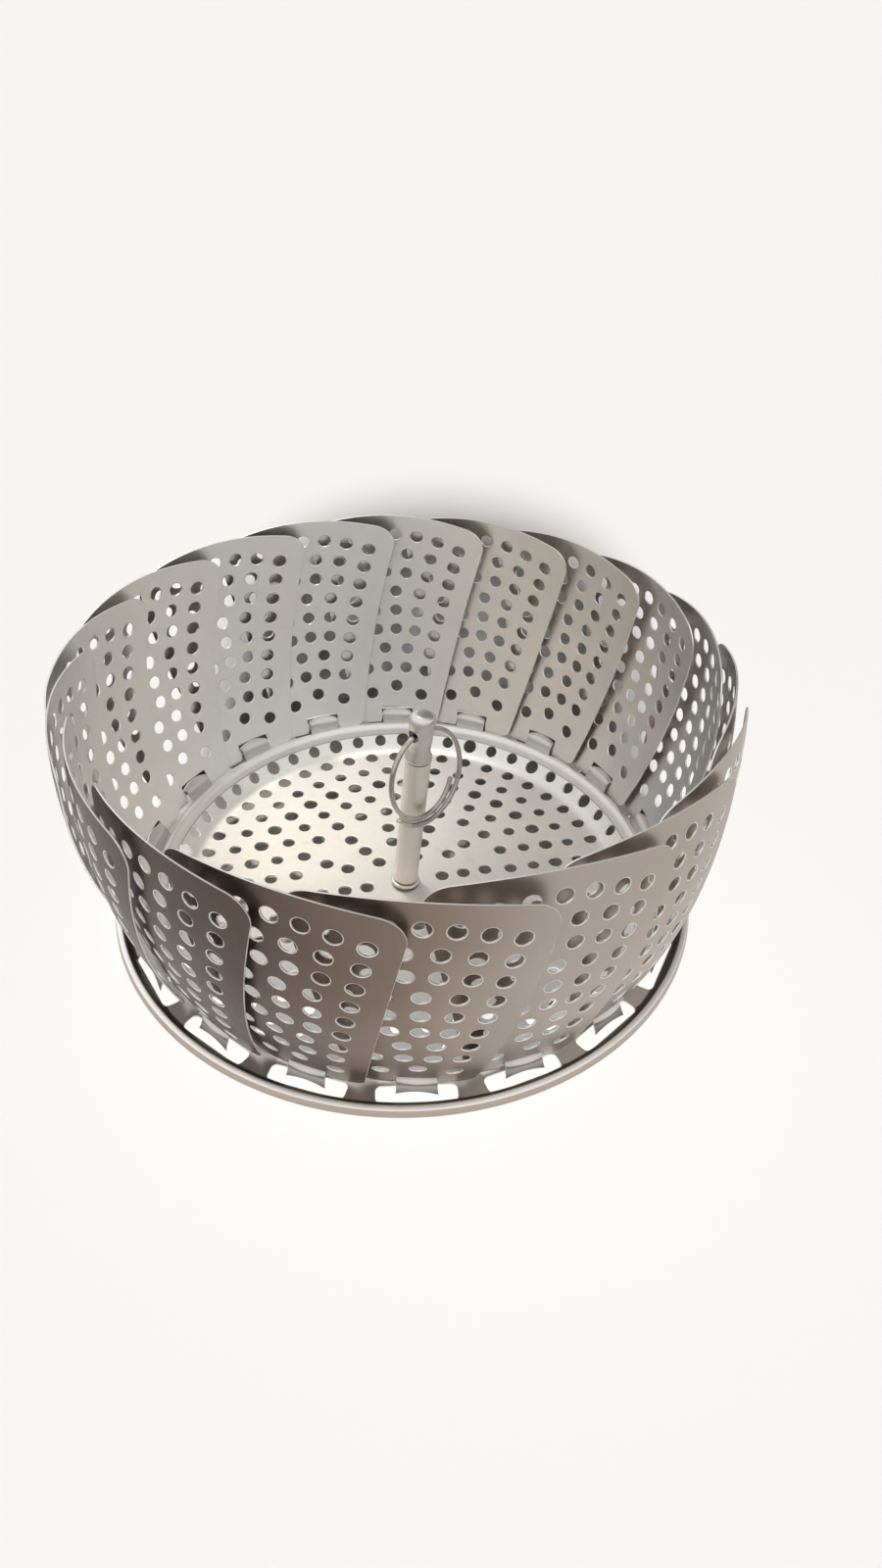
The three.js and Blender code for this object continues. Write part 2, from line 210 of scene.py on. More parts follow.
@dataclass
class ProfileLine:
    """A line in a plane, read by its length along itself.

    Attributes:
        points: Points of the line, shape (n, 2).
        along: Length along the line at each point.
        normals: Unit vectors to the left of the line at each point.
    """

    points: Array
    along: Array = field(init=False)
    normals: Array = field(init=False)

    def __post_init__(self) -> None:
        """Measures the line and its left-hand normals."""
        shortest = 1e-9
        steps = np.linalg.norm(np.diff(self.points, axis=0), axis=1)
        self.points = self.points[np.concatenate([[True], steps > shortest])]
        self.along = travelled(self.points)
        slope = unit(np.gradient(self.points, self.along, axis=0))
        self.normals = np.stack([-slope[:, 1], slope[:, 0]], axis=-1)

    @property
    def length(self) -> float:
        """Whole length of the line."""
        return float(self.along[-1])

    def at(self, distance: Array, lift: Array) -> Array:
        """Point at a distance along the line, lifted off it along its normal.

        Args:
            distance: Distances along the line.
            lift: Offsets to the line's left.

        Returns:
            Points, shape (n, 2).
        """
        base, normal = (
            np.stack([np.interp(distance, self.along, values[:, i]) for i in (0, 1)], axis=-1)
            for values in (self.points, self.normals)
        )
        return base + unit(normal) * lift[..., None]


@dataclass
class Loop:
    """One closed edge of a flat sheet, with the material on its left.

    Attributes:
        edge: The cut edge, shape (n, 2).
        face: The same edge moved into the material by the edge rounding.
    """

    edge: Array
    face: Array

    @staticmethod
    def around(points: Array, inset: float, is_hole: bool) -> "Loop":
        """Makes a loop from a closed outline in either direction.

        Args:
            points: Outline, first point not repeated.
            inset: Width of the edge rounding.
            is_hole: True for a cut inside the sheet.

        Returns:
            The loop, turned so that its material is on its left.
        """
        x, y = points[:, 0], points[:, 1]
        area = np.sum(x * np.roll(y, -1) - np.roll(x, -1) * y)
        ordered = points[::-1] if (area < 0) != is_hole else points
        slope = unit(np.roll(ordered, -1, axis=0) - np.roll(ordered, 1, axis=0))
        left = np.stack([-slope[:, 1], slope[:, 0]], axis=-1)
        return Loop(ordered, ordered + inset * left)

    @staticmethod
    def following(loops: list["Loop"]) -> Array:
        """Index of the point that follows each point, for several loops one after the other."""
        ends = np.cumsum([len(loop.edge) for loop in loops])
        ahead = np.arange(1, ends[-1] + 1)
        ahead[ends - 1] = np.concatenate([[0], ends[:-1]])
        return ahead


@dataclass
class Skin:
    """Arrays of one closed mesh before it is written.

    Attributes:
        points: Vertices, shape (n, 3).
        triangles: Triangle corners, shape (t, 3).
        quads: Quad corners, shape (q, 4).
        flat: Two texture coordinates for each vertex.
        normals: Shading normals for each vertex, or None for smooth by angle.
        side: 1 on a sheet's outer or upper face, -1 on the other face and 0 along its edges.
    """

    points: Array
    triangles: Array
    quads: Array
    flat: Array
    normals: Array | None = None
    side: Array | None = None

    def moved(self, change: Change, turn: Change | None = None) -> "Skin":
        """Copy of the skin with its points changed, and its normals turned alike."""
        normals = None if self.normals is None else (turn or change)(self.normals)
        return Skin(change(self.points), self.triangles, self.quads, self.flat, normals, self.side)

    @staticmethod
    def joined(skins: list["Skin"]) -> "Skin":
        """One skin that holds all of the given sheet skins."""
        counts = np.cumsum([0] + [len(skin.points) for skin in skins])
        return Skin(
            np.vstack([skin.points for skin in skins]),
            np.vstack([skin.triangles + start for skin, start in zip(skins, counts)]),
            np.vstack([skin.quads + start for skin, start in zip(skins, counts)]),
            np.vstack([skin.flat for skin in skins]),
            np.vstack([skin.normals for skin in skins]),
            np.concatenate([skin.side for skin in skins]),
        )

    def write(self, name: str) -> bpy.types.Object:
        """Puts the skin into a new mesh object at the origin.

        Args:
            name: Name of the object.

        Returns:
            The object, linked to the scene, with a UV map named Flat.
        """
        corners = np.concatenate([self.triangles.ravel(), self.quads.ravel()]).astype(np.int32)
        starts = np.concatenate([
            np.arange(len(self.triangles)) * 3,
            len(self.triangles) * 3 + np.arange(len(self.quads)) * 4,
        ]).astype(np.int32)
        mesh = bpy.data.meshes.new(name)
        mesh.vertices.add(len(self.points))
        mesh.vertices.foreach_set("co", (self.points * MM).astype(np.float32).ravel())
        mesh.loops.add(len(corners))
        mesh.loops.foreach_set("vertex_index", corners)
        mesh.polygons.add(len(starts))
        mesh.polygons.foreach_set("loop_start", starts)
        mesh.polygons.foreach_set("use_smooth", np.ones(len(starts), dtype=bool))
        mesh.update(calc_edges=True)
        layer = mesh.uv_layers.new(name="Flat")
        layer.uv.foreach_set("vector", (self.flat[corners] * FLAT_SCALE).astype(np.float32).ravel())
        mark = mesh.attributes.new("side", "FLOAT", "POINT")
        side = np.ones(len(self.points)) if self.side is None else self.side
        mark.data.foreach_set("value", side.astype(np.float32))
        if self.normals is None:
            mesh.set_sharp_from_angle(angle=np.radians(SHARP_ANGLE))
        else:
            mesh.normals_split_custom_set_from_vertices(unit(self.normals).astype(np.float32))
        return link_object(name, mesh)


@dataclass
class PressedSheet:
    """Sheet metal cut flat, rounded a little along its edges, then bent into place.

    Attributes:
        thickness: Thickness of the sheet.
        rounding: Width of the rounded edge.
        place: Gives the point in space of flat points and their height off the middle of the sheet.
    """

    thickness: float
    rounding: float
    place: Place

    def triangulate(self, loops: list[Loop], fill: Array) -> Array:
        """Fills the flat sheet between its edges with triangles.

        Args:
            loops: Outer edge first, then the cuts, which are all convex.
            fill: Loose points inside the material.

        Returns:
            Triangles over the loops' face points followed by the fill points.
        """
        closest = 1e-6
        sizes = [len(loop.face) for loop in loops]
        owner = np.concatenate([np.repeat(np.arange(len(loops)), sizes), np.full(len(fill), -1)])
        ahead = Loop.following(loops)
        edges = np.stack([np.arange(len(ahead)), ahead], axis=-1)
        points = np.vstack([loop.face for loop in loops] + [fill])
        faces = delaunay_2d_cdt(points.tolist(), edges.tolist(), [], 1, closest)[2]
        triangles = np.array(faces, dtype=np.int64)
        owners = owner[triangles]
        in_cut = (owners[:, 0] > 0) & (owners[:, 0] == owners[:, 1]) & (owners[:, 1] == owners[:, 2])
        return triangles[~in_cut]

    def skin(self, loops: list[Loop], fill: Array) -> Skin:
        """Builds both faces and the rounded edges of the bent sheet.

        Args:
            loops: Outer edge first, then the cuts.
            fill: Loose points inside the material.

        Returns:
            The closed skin with its shading normals.
        """
        triangles = self.triangulate(loops, fill)
        face = np.vstack([loop.face for loop in loops] + [fill])
        edge = np.vstack([loop.edge for loop in loops])
        count, rim = len(face), len(edge)
        half = self.thickness / 2
        deepest = 0.8 * half
        shoulder = half - min(self.rounding, deepest)
        layers = [(face, half), (face, -half), (edge, shoulder), (edge, -shoulder)]
        points = np.vstack([self.place(flat, np.full(len(flat), lift)) for flat, lift in layers])
        upward = unit(self.place(face, np.full(count, half)) - self.place(face, np.full(count, -half)))
        inward = edge + 0.5 * (np.vstack([loop.face for loop in loops]) - edge)
        middle = np.zeros(rim)
        outward = unit(self.place(edge, middle) - self.place(inward, middle))
        here, ahead = np.arange(rim), Loop.following(loops)
        high, low, top_edge, low_edge = 0, count, 2 * count, 2 * count + rim
        bands = [(low, low_edge), (low_edge, top_edge), (top_edge, high)]
        quads = np.vstack([
            np.stack([here + under, ahead + under, ahead + over, here + over], axis=-1)
            for under, over in bands
        ])
        return Skin(
            points,
            np.vstack([triangles + high, triangles[:, ::-1] + low]),
            quads,
            np.vstack([face, face, edge, edge]),
            np.vstack([upward, -upward, outward, outward]),
            np.repeat([1.0, -1.0, 0.0, 0.0], [count, count, rim, rim]),
        )


def round_cuts(centres: Array, diameters: Array, inset: float, sides: int) -> list[Loop]:
    """Round holes as loops that run clockwise, so that the sheet is on their left.

    Args:
        centres: Hole centres, shape (n, 2).
        diameters: Hole diameters, shape (n,).
        inset: Width of the edge rounding.
        sides: Points on each hole.

    Returns:
        One loop for each hole.
    """
    ring = circle(sides, -1.0)
    edges = centres[:, None] + 0.5 * diameters[:, None, None] * ring
    faces = centres[:, None] + (0.5 * diameters + inset)[:, None, None] * ring
    return [Loop(edge, face) for edge, face in zip(edges, faces)]


def clear_of(points: Array, centres: Array, distances: Array) -> Array:
    """Marks points that lie farther from every centre than the distance given for it."""
    gaps = np.linalg.norm(points[:, None] - centres[None], axis=-1)
    return np.all(gaps > distances[None], axis=1)


def rounded_rectangle(low: Point, high: Point, radius: float, steps: int) -> Array:
    """Outline of a rectangle with round corners, counter-clockwise.

    Args:
        low: Lowest corner.
        high: Highest corner.
        radius: Corner radius.
        steps: Points on each corner.

    Returns:
        Points of the outline.
    """
    corners = [
        ((high[0] - radius, low[1] + radius), -90.0),
        ((high[0] - radius, high[1] - radius), 0.0),
        ((low[0] + radius, high[1] - radius), 90.0),
        ((low[0] + radius, low[1] + radius), 180.0),
    ]
    return np.vstack([arc_points(centre, radius, start, start + 90.0, steps) for centre, start in corners])


def thicken_outline(points: Array, spacing: float) -> Array:
    """Adds points to the long sides of a closed outline.

    Args:
        points: Outline, first point not repeated.
        spacing: Distance between the new points, which keep clear of the old ones.

    Returns:
        The outline with its new points.
    """
    clearance = 0.4 * spacing
    closed = np.vstack([points, points[:1]])
    along = travelled(closed)
    extra = np.arange(0.0, along[-1], spacing)
    gaps = np.min(np.abs(extra[:, None] - along[None]), axis=1)
    places = np.sort(np.concatenate([along[:-1], extra[gaps > clearance]]))
    return np.stack([np.interp(places, along, closed[:, i]) for i in (0, 1)], axis=-1)


def turned_skin(profile: Array, segments: int, radius_of: Place | None = None) -> Skin:
    """Surface of revolution about Z of a profile that starts and ends on the axis, or closes on itself.

    Point (i, j) is (r_i cos a_j, r_i sin a_j, z_i), with the poles merged where r is 0.

    Args:
        profile: Radius and height of each profile point, from low to high along the outside.
        segments: Steps round the axis.
        radius_of: Optional change of the radii for each angle, such as a hexagon.

    Returns:
        The closed skin, smooth by angle.
    """
    closes = np.allclose(profile[0], profile[-1])
    rows = profile[:-1] if closes else profile
    angle = 2 * np.pi * np.arange(segments) / segments
    radius = np.repeat(rows[:, :1], segments, axis=1)
    if radius_of is not None:
        radius = radius_of(radius, angle[None])
    height = np.repeat(rows[:, 1:], segments, axis=1)
    grid = np.stack([radius * np.cos(angle), radius * np.sin(angle), height], axis=-1)
    flat = np.stack(np.broadcast_arrays((angle * rows[:, 0].max())[None], height), axis=-1)
    return tube_skin(grid, flat, closes)


def tube_skin(grid: Array, flat: Array, closes: bool) -> Skin:
    """Joins rows of points that run round a tube.

    Quads with a merged side become triangles, and points that no face uses are dropped.

    Args:
        grid: Points, shape (rows, points in a row, 3).
        flat: Texture coordinates, shape (rows, points in a row, 2).
        closes: True where the last row joins the first, and False where both end rows are one point.

    Returns:
        The closed skin, smooth by angle.
    """
    index = np.arange(grid.shape[0] * grid.shape[1]).reshape(grid.shape[:2])
    if not closes:
        index[0] = index[0, 0]
        index[-1] = index[-1, 0]
    upper = np.roll(index, -1, axis=0) if closes else index[1:]
    lower = index if closes else index[:-1]
    around = [lower, np.roll(lower, -1, 1), np.roll(upper, -1, 1), upper]
    quads = np.stack(around, axis=-1).reshape(-1, 4)
    points, flat = grid.reshape(-1, 3), flat.reshape(-1, 2)
    first_pair = quads[:, 0] == quads[:, 1]
    last_pair = quads[:, 2] == quads[:, 3]
    whole = ~(first_pair | last_pair)
    triangles = np.vstack([quads[first_pair][:, [0, 2, 3]], quads[last_pair][:, [0, 1, 2]]])
    kept = quads[whole]
    corners = np.concatenate([triangles.ravel(), kept.ravel()])
    used, renumbered = np.unique(corners, return_inverse=True)
    threes, fours = np.split(renumbered, [triangles.size])
    return Skin(points[used], threes.reshape(-1, 3), fours.reshape(-1, 4), flat[used])


Band = tuple[float, Colour, float]
Socket = bpy.types.NodeSocket
Node = bpy.types.Node
Value = Socket | float | tuple[float, ...] | Vector


@dataclass(frozen=True)
class NodeBoard:
    """The nodes of one material or surround, with short ways to add to them.

    Attributes:
        tree: The node tree.
    """

    tree: bpy.types.NodeTree

    def put(self, value: Value, target: Socket) -> None:
        """Links an output to an input, or sets the input to a plain value."""
        if isinstance(value, bpy.types.NodeSocket):
            self.tree.links.new(value, target)
        else:
            target.default_value = value

    def add(self, kind: str, inputs: dict[str | int, Value], **settings: str) -> Node:
        """Adds a node.

        Args:
            kind: Kind of the node, without the words that all kinds start with.
            inputs: Values or outputs for its inputs, by name or number.
            **settings: Properties that are set before the inputs.

        Returns:
            The node.
        """
        node = self.tree.nodes.new("ShaderNode" + kind)
        for name, setting in settings.items():
            setattr(node, name, setting)
        for key, value in inputs.items():
            self.put(value, node.inputs[key])
        return node

    def math(self, operation: str, *values: Value) -> Socket:
        """Adds one step of arithmetic and returns its result."""
        return self.add("Math", dict(enumerate(values)), operation=operation).outputs["Value"]

    def noise(self, vector: Socket, pattern: Point) -> Socket:
        """Adds a noise texture.

        Args:
            vector: Coordinates that it is laid over.
            pattern: Its scale and detail.

        Returns:
            Its value.
        """
        scale, detail = pattern
        inputs = {"Vector": vector, "Scale": scale, "Detail": detail, "Roughness": NOISE_ROUGHNESS}
        return self.add("TexNoise", inputs).outputs["Fac"]

    def step(self, value: Socket, low: float, high: float) -> Socket:
        """Adds a smooth step.

        Args:
            value: What the step is read from.
            low: Value at which the step is 0.
            high: Value at which the step is 1, which may be lower than low.

        Returns:
            The step's result.
        """
        rising = low < high
        inputs = {
            "Value": value, "From Min": min(low, high), "From Max": max(low, high),
            "To Min": 0.0 if rising else 1.0, "To Max": 1.0 if rising else 0.0,
        }
        return self.add("MapRange", inputs, interpolation_type="SMOOTHSTEP").outputs["Result"]

    def mix(self, factor: Socket, base: Socket | Colour, colour: Socket | Colour) -> Socket:
        """Adds a mix of two colours, from the base at 0 to the other at 1, and returns it."""
        pair = [(*one, 1.0) if isinstance(one, tuple) else one for one in (base, colour)]
        inputs = {"Factor": factor, "A": pair[0], "B": pair[1]}
        return self.add("Mix", inputs, data_type="RGBA").outputs["Result"]


# Noise patterns in the steel, as scale and detail, and how rough all of them are.
CLOUDS = (60.0, 5.0)
PATCHES = (16.0, 2.0)
SPOTS = (210.0, 4.0)
FINE_LINES = (3.0, 6.0)
WAVES = (70.0, 1.5)
NOISE_ROUGHNESS = 0.62
# Values between which each pattern fades in, and how far it then covers.
CLOUD_STEP = (0.36, 0.66)
PATCH_STEP, PATCH_AMOUNT = (0.40, 0.62), 0.85
LINE_STEP, LINE_AMOUNT = (0.50, 0.72), 0.45
SPOT_STEP = (0.56, 0.74)
# Values of the side attribute between which each face, and the rubbed edge, fades in.
FACE_STEP, OTHER_STEP = (0.4, 1.0), (-0.4, -1.0)
EDGE_STEP, EDGE_AMOUNT = (0.85, 0.25), 0.9
# Clouds and fine lines together, from the smoothest to the roughest.
ROUGH_RANGE = (0.6, 1.4)
# Depths of the bump and sideways waver of the bands, in metres.
WAVE_DEPTH = 0.0006
LINE_DEPTH = 0.00008
BAND_WAVER = 0.05


@dataclass(frozen=True)
class SteelFinish:
    """Stainless steel with rolled or polished lines, cloudy patches, stains, bands of painted shade,
    highlight and reflection, and rubbed edges.

    Attributes:
        name: Name of the material.
        clean: Reflected colour of the clean metal.
        dull: Reflected colour in the dull patches and along the fine lines.
        tint: Reflected colour of the widest, slowest patches.
        stain: Colour of water and heat stains.
        stain_amount: How far the stains cover, from 0 to 1.
        edge: Reflected colour of rubbed edges.
        roughness: Roughness of the clean metal.
        spread: Extra roughness in the dull patches.
        grain: Direction of the fine lines.
        grain_depth: Strength of the fine lines' bump.
        dents: Strength of the slow waves that pressing leaves.
        bands: Tones of painted shade, highlight and reflection on the outer or upper face, each a place, a
            colour and an amount from 0 to 1.
        other_bands: Tones of the other face, in the same way, also painted shade and reflection.
        bands_over: What the places of the bands are measured along.
        stain_run: Scale of the stains along Z, below 1 for stains that run down.
    """

    name: str
    clean: Colour
    dull: Colour
    tint: Colour
    stain: Colour
    stain_amount: float
    edge: Colour
    roughness: float
    spread: float
    grain: Grain
    grain_depth: float
    dents: float
    bands: tuple[Band, ...] = ()
    other_bands: tuple[Band, ...] = ()
    bands_over: BandsOver = BandsOver.DISTANCE
    stain_run: float = 1.0

    def build(self) -> bpy.types.Material:
        """Makes the material's nodes.

        Returns:
            The material.
        """
        material = bpy.data.materials.new(self.name)
        material.use_nodes = True
        board = NodeBoard(material.node_tree)
        shader = material.node_tree.nodes["Principled BSDF"]
        shader.inputs["Metallic"].default_value = 1.0
        place = board.add("TexCoord", {})
        clouds = board.noise(place.outputs["Object"], CLOUDS)
        lines = self.lines(board, place)
        board.put(self.colour(board, place, clouds, lines), shader.inputs["Base Color"])
        board.put(self.rough(board, clouds, lines), shader.inputs["Roughness"])
        board.put(self.bump(board, place, lines), shader.inputs["Normal"])
        return material

    def colour(self, board: NodeBoard, place: Node, clouds: Socket, lines: Socket) -> Socket:
        """Adds the colour layers, from the clean metal to the rubbed edges.

        Args:
            board: The material's nodes.
            place: Texture coordinates.
            clouds: Noise of the dull patches.
            lines: Noise of the fine lines.

        Returns:
            The colour of all layers.
        """
        patches = board.noise(place.outputs["Object"], PATCHES)
        stretch = {"Vector": place.outputs["Object"], "Scale": (1.0, 1.0, self.stain_run)}
        spots = board.noise(board.add("Mapping", stretch).outputs["Vector"], SPOTS)
        side = board.add("Attribute", {}, attribute_name="side").outputs["Fac"]
        layer = board.mix(board.step(clouds, *CLOUD_STEP), self.clean, self.dull)
        for noise, step, amount, colour in (
            (patches, PATCH_STEP, PATCH_AMOUNT, self.tint),
            (lines, LINE_STEP, LINE_AMOUNT, self.dull),
            (spots, SPOT_STEP, self.stain_amount, self.stain),
        ):
            layer = board.mix(board.math("MULTIPLY", board.step(noise, *step), amount), layer, colour)
        # Bands of painted shade, highlight and reflection on each face.
        for bands, step in ((self.bands, FACE_STEP), (self.other_bands, OTHER_STEP)):
            if bands:
                layer = self.banded(board, place, patches, bands, board.step(side, *step), layer)
        rubbed = board.step(board.math("ABSOLUTE", side), *EDGE_STEP)
        return board.mix(board.math("MULTIPLY", rubbed, EDGE_AMOUNT), layer, self.edge)

    def banded(self, board: NodeBoard, place: Node, patches: Socket, bands: tuple[Band, ...],
               mask: Socket, layer: Socket) -> Socket:
        """Adds bands of tone to one face, which carry painted shade, highlight and reflection.

        Args:
            board: The material's nodes.
            place: Texture coordinates.
            patches: Slow noise, by which bands over the width waver.
            bands: The bands.
            mask: 1 on the face that has them.
            layer: The colour below them.

        Returns:
            The colour with the bands.
        """
        first, last = bands[0][0], bands[-1][0]
        if self.bands_over is BandsOver.DISTANCE:
            reach = board.add("VectorMath", {0: place.outputs["UV"]}, operation="LENGTH")
            along, scale = reach.outputs["Value"], FLAT_SCALE
        else:
            parts = board.add("SeparateXYZ", {"Vector": place.outputs["Object"]})
            along, scale = board.math("MULTIPLY_ADD", patches, BAND_WAVER, parts.outputs["X"]), MM
        limits = {"Value": along, "From Min": first * scale, "From Max": last * scale}
        ramp = board.add("ValToRGB", {"Fac": board.add("MapRange", limits).outputs["Result"]})
        stops = ramp.color_ramp.elements
        while len(stops) < len(bands):
            stops.new(0.5)
        for stop, (at, colour, amount) in zip(stops, bands):
            stop.position = (at - first) / (last - first)
            stop.color = (*colour, amount)
        weight = board.math("MULTIPLY", ramp.outputs["Alpha"], mask)
        return board.mix(weight, layer, ramp.outputs["Color"])

    def lines(self, board: NodeBoard, place: Node) -> Socket:
        """Adds the fine lines: noise over the flat sheet, stretched along the grain.

        Args:
            board: The material's nodes.
            place: Texture coordinates.

        Returns:
            The noise's value.
        """
        stretch = {"Vector": place.outputs["UV"], "Scale": (*self.grain.value, 1.0)}
        return board.noise(board.add("Mapping", stretch).outputs["Vector"], FINE_LINES)

    def rough(self, board: NodeBoard, clouds: Socket, lines: Socket) -> Socket:
        """Adds the roughness: clean metal, duller in the clouds and along the fine lines.

        Args:
            board: The material's nodes.
            clouds: Noise of the dull patches.
            lines: Noise of the fine lines.

        Returns:
            The roughness.
        """
        smoothest, roughest = ROUGH_RANGE
        limits = {
            "Value": board.math("ADD", clouds, lines), "From Min": smoothest, "From Max": roughest,
            "To Min": self.roughness, "To Max": self.roughness + self.spread,
        }
        return board.add("MapRange", limits).outputs["Result"]

    def bump(self, board: NodeBoard, place: Node, lines: Socket) -> Socket:
        """Adds slow waves in the sheet, then the fine lines over them.

        Args:
            board: The material's nodes.
            place: Texture coordinates.
            lines: Noise of the fine lines.

        Returns:
            The bumped normal.
        """
        height = board.noise(place.outputs["Object"], WAVES)
        waves = {"Strength": self.dents, "Distance": WAVE_DEPTH, "Height": height}
        slow = board.add("Bump", waves).outputs["Normal"]
        fine = {"Strength": self.grain_depth, "Distance": LINE_DEPTH, "Height": lines, "Normal": slow}
        return board.add("Bump", fine).outputs["Normal"]


PETAL_STEEL = SteelFinish(
    name="petal_steel", clean=(0.87, 0.86, 0.835), dull=(0.76, 0.75, 0.725), tint=(0.75, 0.77, 0.78),
    stain=(0.60, 0.53, 0.46), stain_amount=0.30, edge=(0.92, 0.88, 0.85), roughness=0.34, spread=0.14,
    grain=Grain.LENGTHWISE, grain_depth=0.20, dents=0.10,
    # Outer face: painted shade along X, near black on the basket's left and lighter brown toward its right.
    bands=(
        (-75.0, (0.066, 0.057, 0.059), 0.96), (-45.0, (0.066, 0.050, 0.047), 0.97),
        (-4.0, (0.085, 0.056, 0.045), 0.97), (34.0, (0.225, 0.166, 0.130), 0.96),
        (58.0, (0.39, 0.338, 0.302), 0.95), (90.0, (0.41, 0.352, 0.302), 0.95),
    ),
    # Inner face: painted reflection tints along X, pale and warm on the left, neutral in the middle, warm
    # beige to the right, darker bluish grey at the far right.
    other_bands=(
        (-40.0, (0.97, 0.95, 0.91), 0.7), (5.0, (0.93, 0.945, 0.945), 0.7),
        (35.0, (0.93, 0.90, 0.86), 0.7), (60.0, (0.90, 0.825, 0.74), 0.75),
        (76.0, (0.82, 0.77, 0.71), 0.75), (92.0, (0.58, 0.60, 0.63), 0.8),
    ),
    bands_over=BandsOver.WIDTH,
)
BASE_STEEL = SteelFinish(
    name="base_steel_satin", clean=(0.86, 0.84, 0.805), dull=(0.79, 0.77, 0.735), tint=(0.82, 0.815, 0.805),
    stain=(0.66, 0.58, 0.49), stain_amount=0.30, edge=(0.92, 0.90, 0.87), roughness=0.38, spread=0.12,
    grain=Grain.ROUND, grain_depth=0.06, dents=0.05,
)
# Painted shade for the underside of the base plate.
UNDERSIDE_SHADE = (0.16, 0.135, 0.115)
# A darker copy of the base steel, painted shade; its bands are lighter over the root and arch and darken
# toward the hanging end, also painted shade.
TONGUE_STEEL = SteelFinish(
    name="tongue_steel", clean=(0.60, 0.585, 0.56), dull=(0.50, 0.485, 0.46), tint=(0.55, 0.55, 0.545),
    stain=(0.40, 0.35, 0.30), stain_amount=0.35, edge=(0.74, 0.72, 0.69), roughness=0.38, spread=0.16,
    grain=Grain.CROSSWISE, grain_depth=0.30, dents=0.06,
    bands=(
        (0.0, (0.74, 0.725, 0.70), 0.8), (4.0, (0.70, 0.68, 0.65), 0.8),
        (5.2, (0.62, 0.59, 0.55), 0.9), (9.5, (0.52, 0.49, 0.45), 0.9),
    ),
)
POST_STEEL = SteelFinish(
    name="post_tube_steel", clean=(0.92, 0.87, 0.80), dull=(0.86, 0.80, 0.72), tint=(0.89, 0.83, 0.75),
    stain=(0.20, 0.115, 0.06), stain_amount=0.75, edge=(0.85, 0.82, 0.78), roughness=0.36, spread=0.16,
    grain=Grain.LENGTHWISE, grain_depth=0.25, dents=0.05, stain_run=0.14,
)
BRIGHT_STEEL = SteelFinish(
    name="polished_steel", clean=(0.80, 0.775, 0.735), dull=(0.62, 0.59, 0.55), tint=(0.72, 0.695, 0.66),
    stain=(0.42, 0.34, 0.26), stain_amount=0.35, edge=(0.88, 0.86, 0.84), roughness=0.27, spread=0.12,
    grain=Grain.CROSSWISE, grain_depth=0.10, dents=0.03,
)
WIRE_STEEL = SteelFinish(
    name="ring_wire_steel", clean=(0.64, 0.605, 0.57), dull=(0.36, 0.325, 0.30), tint=(0.50, 0.46, 0.425),
    stain=(0.33, 0.20, 0.12), stain_amount=0.50, edge=(0.7, 0.65, 0.6), roughness=0.13, spread=0.10,
    grain=Grain.CROSSWISE, grain_depth=0.12, dents=0.03,
)
LEG_STEEL = SteelFinish(
    name="leg_strip_steel", clean=(0.66, 0.64, 0.61), dull=(0.55, 0.53, 0.505), tint=(0.60, 0.59, 0.58),
    stain=(0.48, 0.40, 0.32), stain_amount=0.30, edge=(0.80, 0.78, 0.75), roughness=0.28, spread=0.16,
    grain=Grain.LENGTHWISE, grain_depth=0.25, dents=0.08,
)


def dress(piece: bpy.types.Object, material: bpy.types.Material, body: str, slot: Slot,
          *nodes: str) -> None:
    """Gives a finished piece its material and body, and hides the nodes that it stands for.

    Args:
        piece: The piece.
        material: Its finish.
        body: Name of the body that it rides on.
        slot: Its material slot in the record; not used.
        *nodes: Names of the nodes that it replaces.
    """
    piece.data.materials.append(material)
    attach(piece, body)
    if nodes:
        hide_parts(*nodes)
    LOG.info("%s: %d faces", piece.name, len(piece.data.polygons))


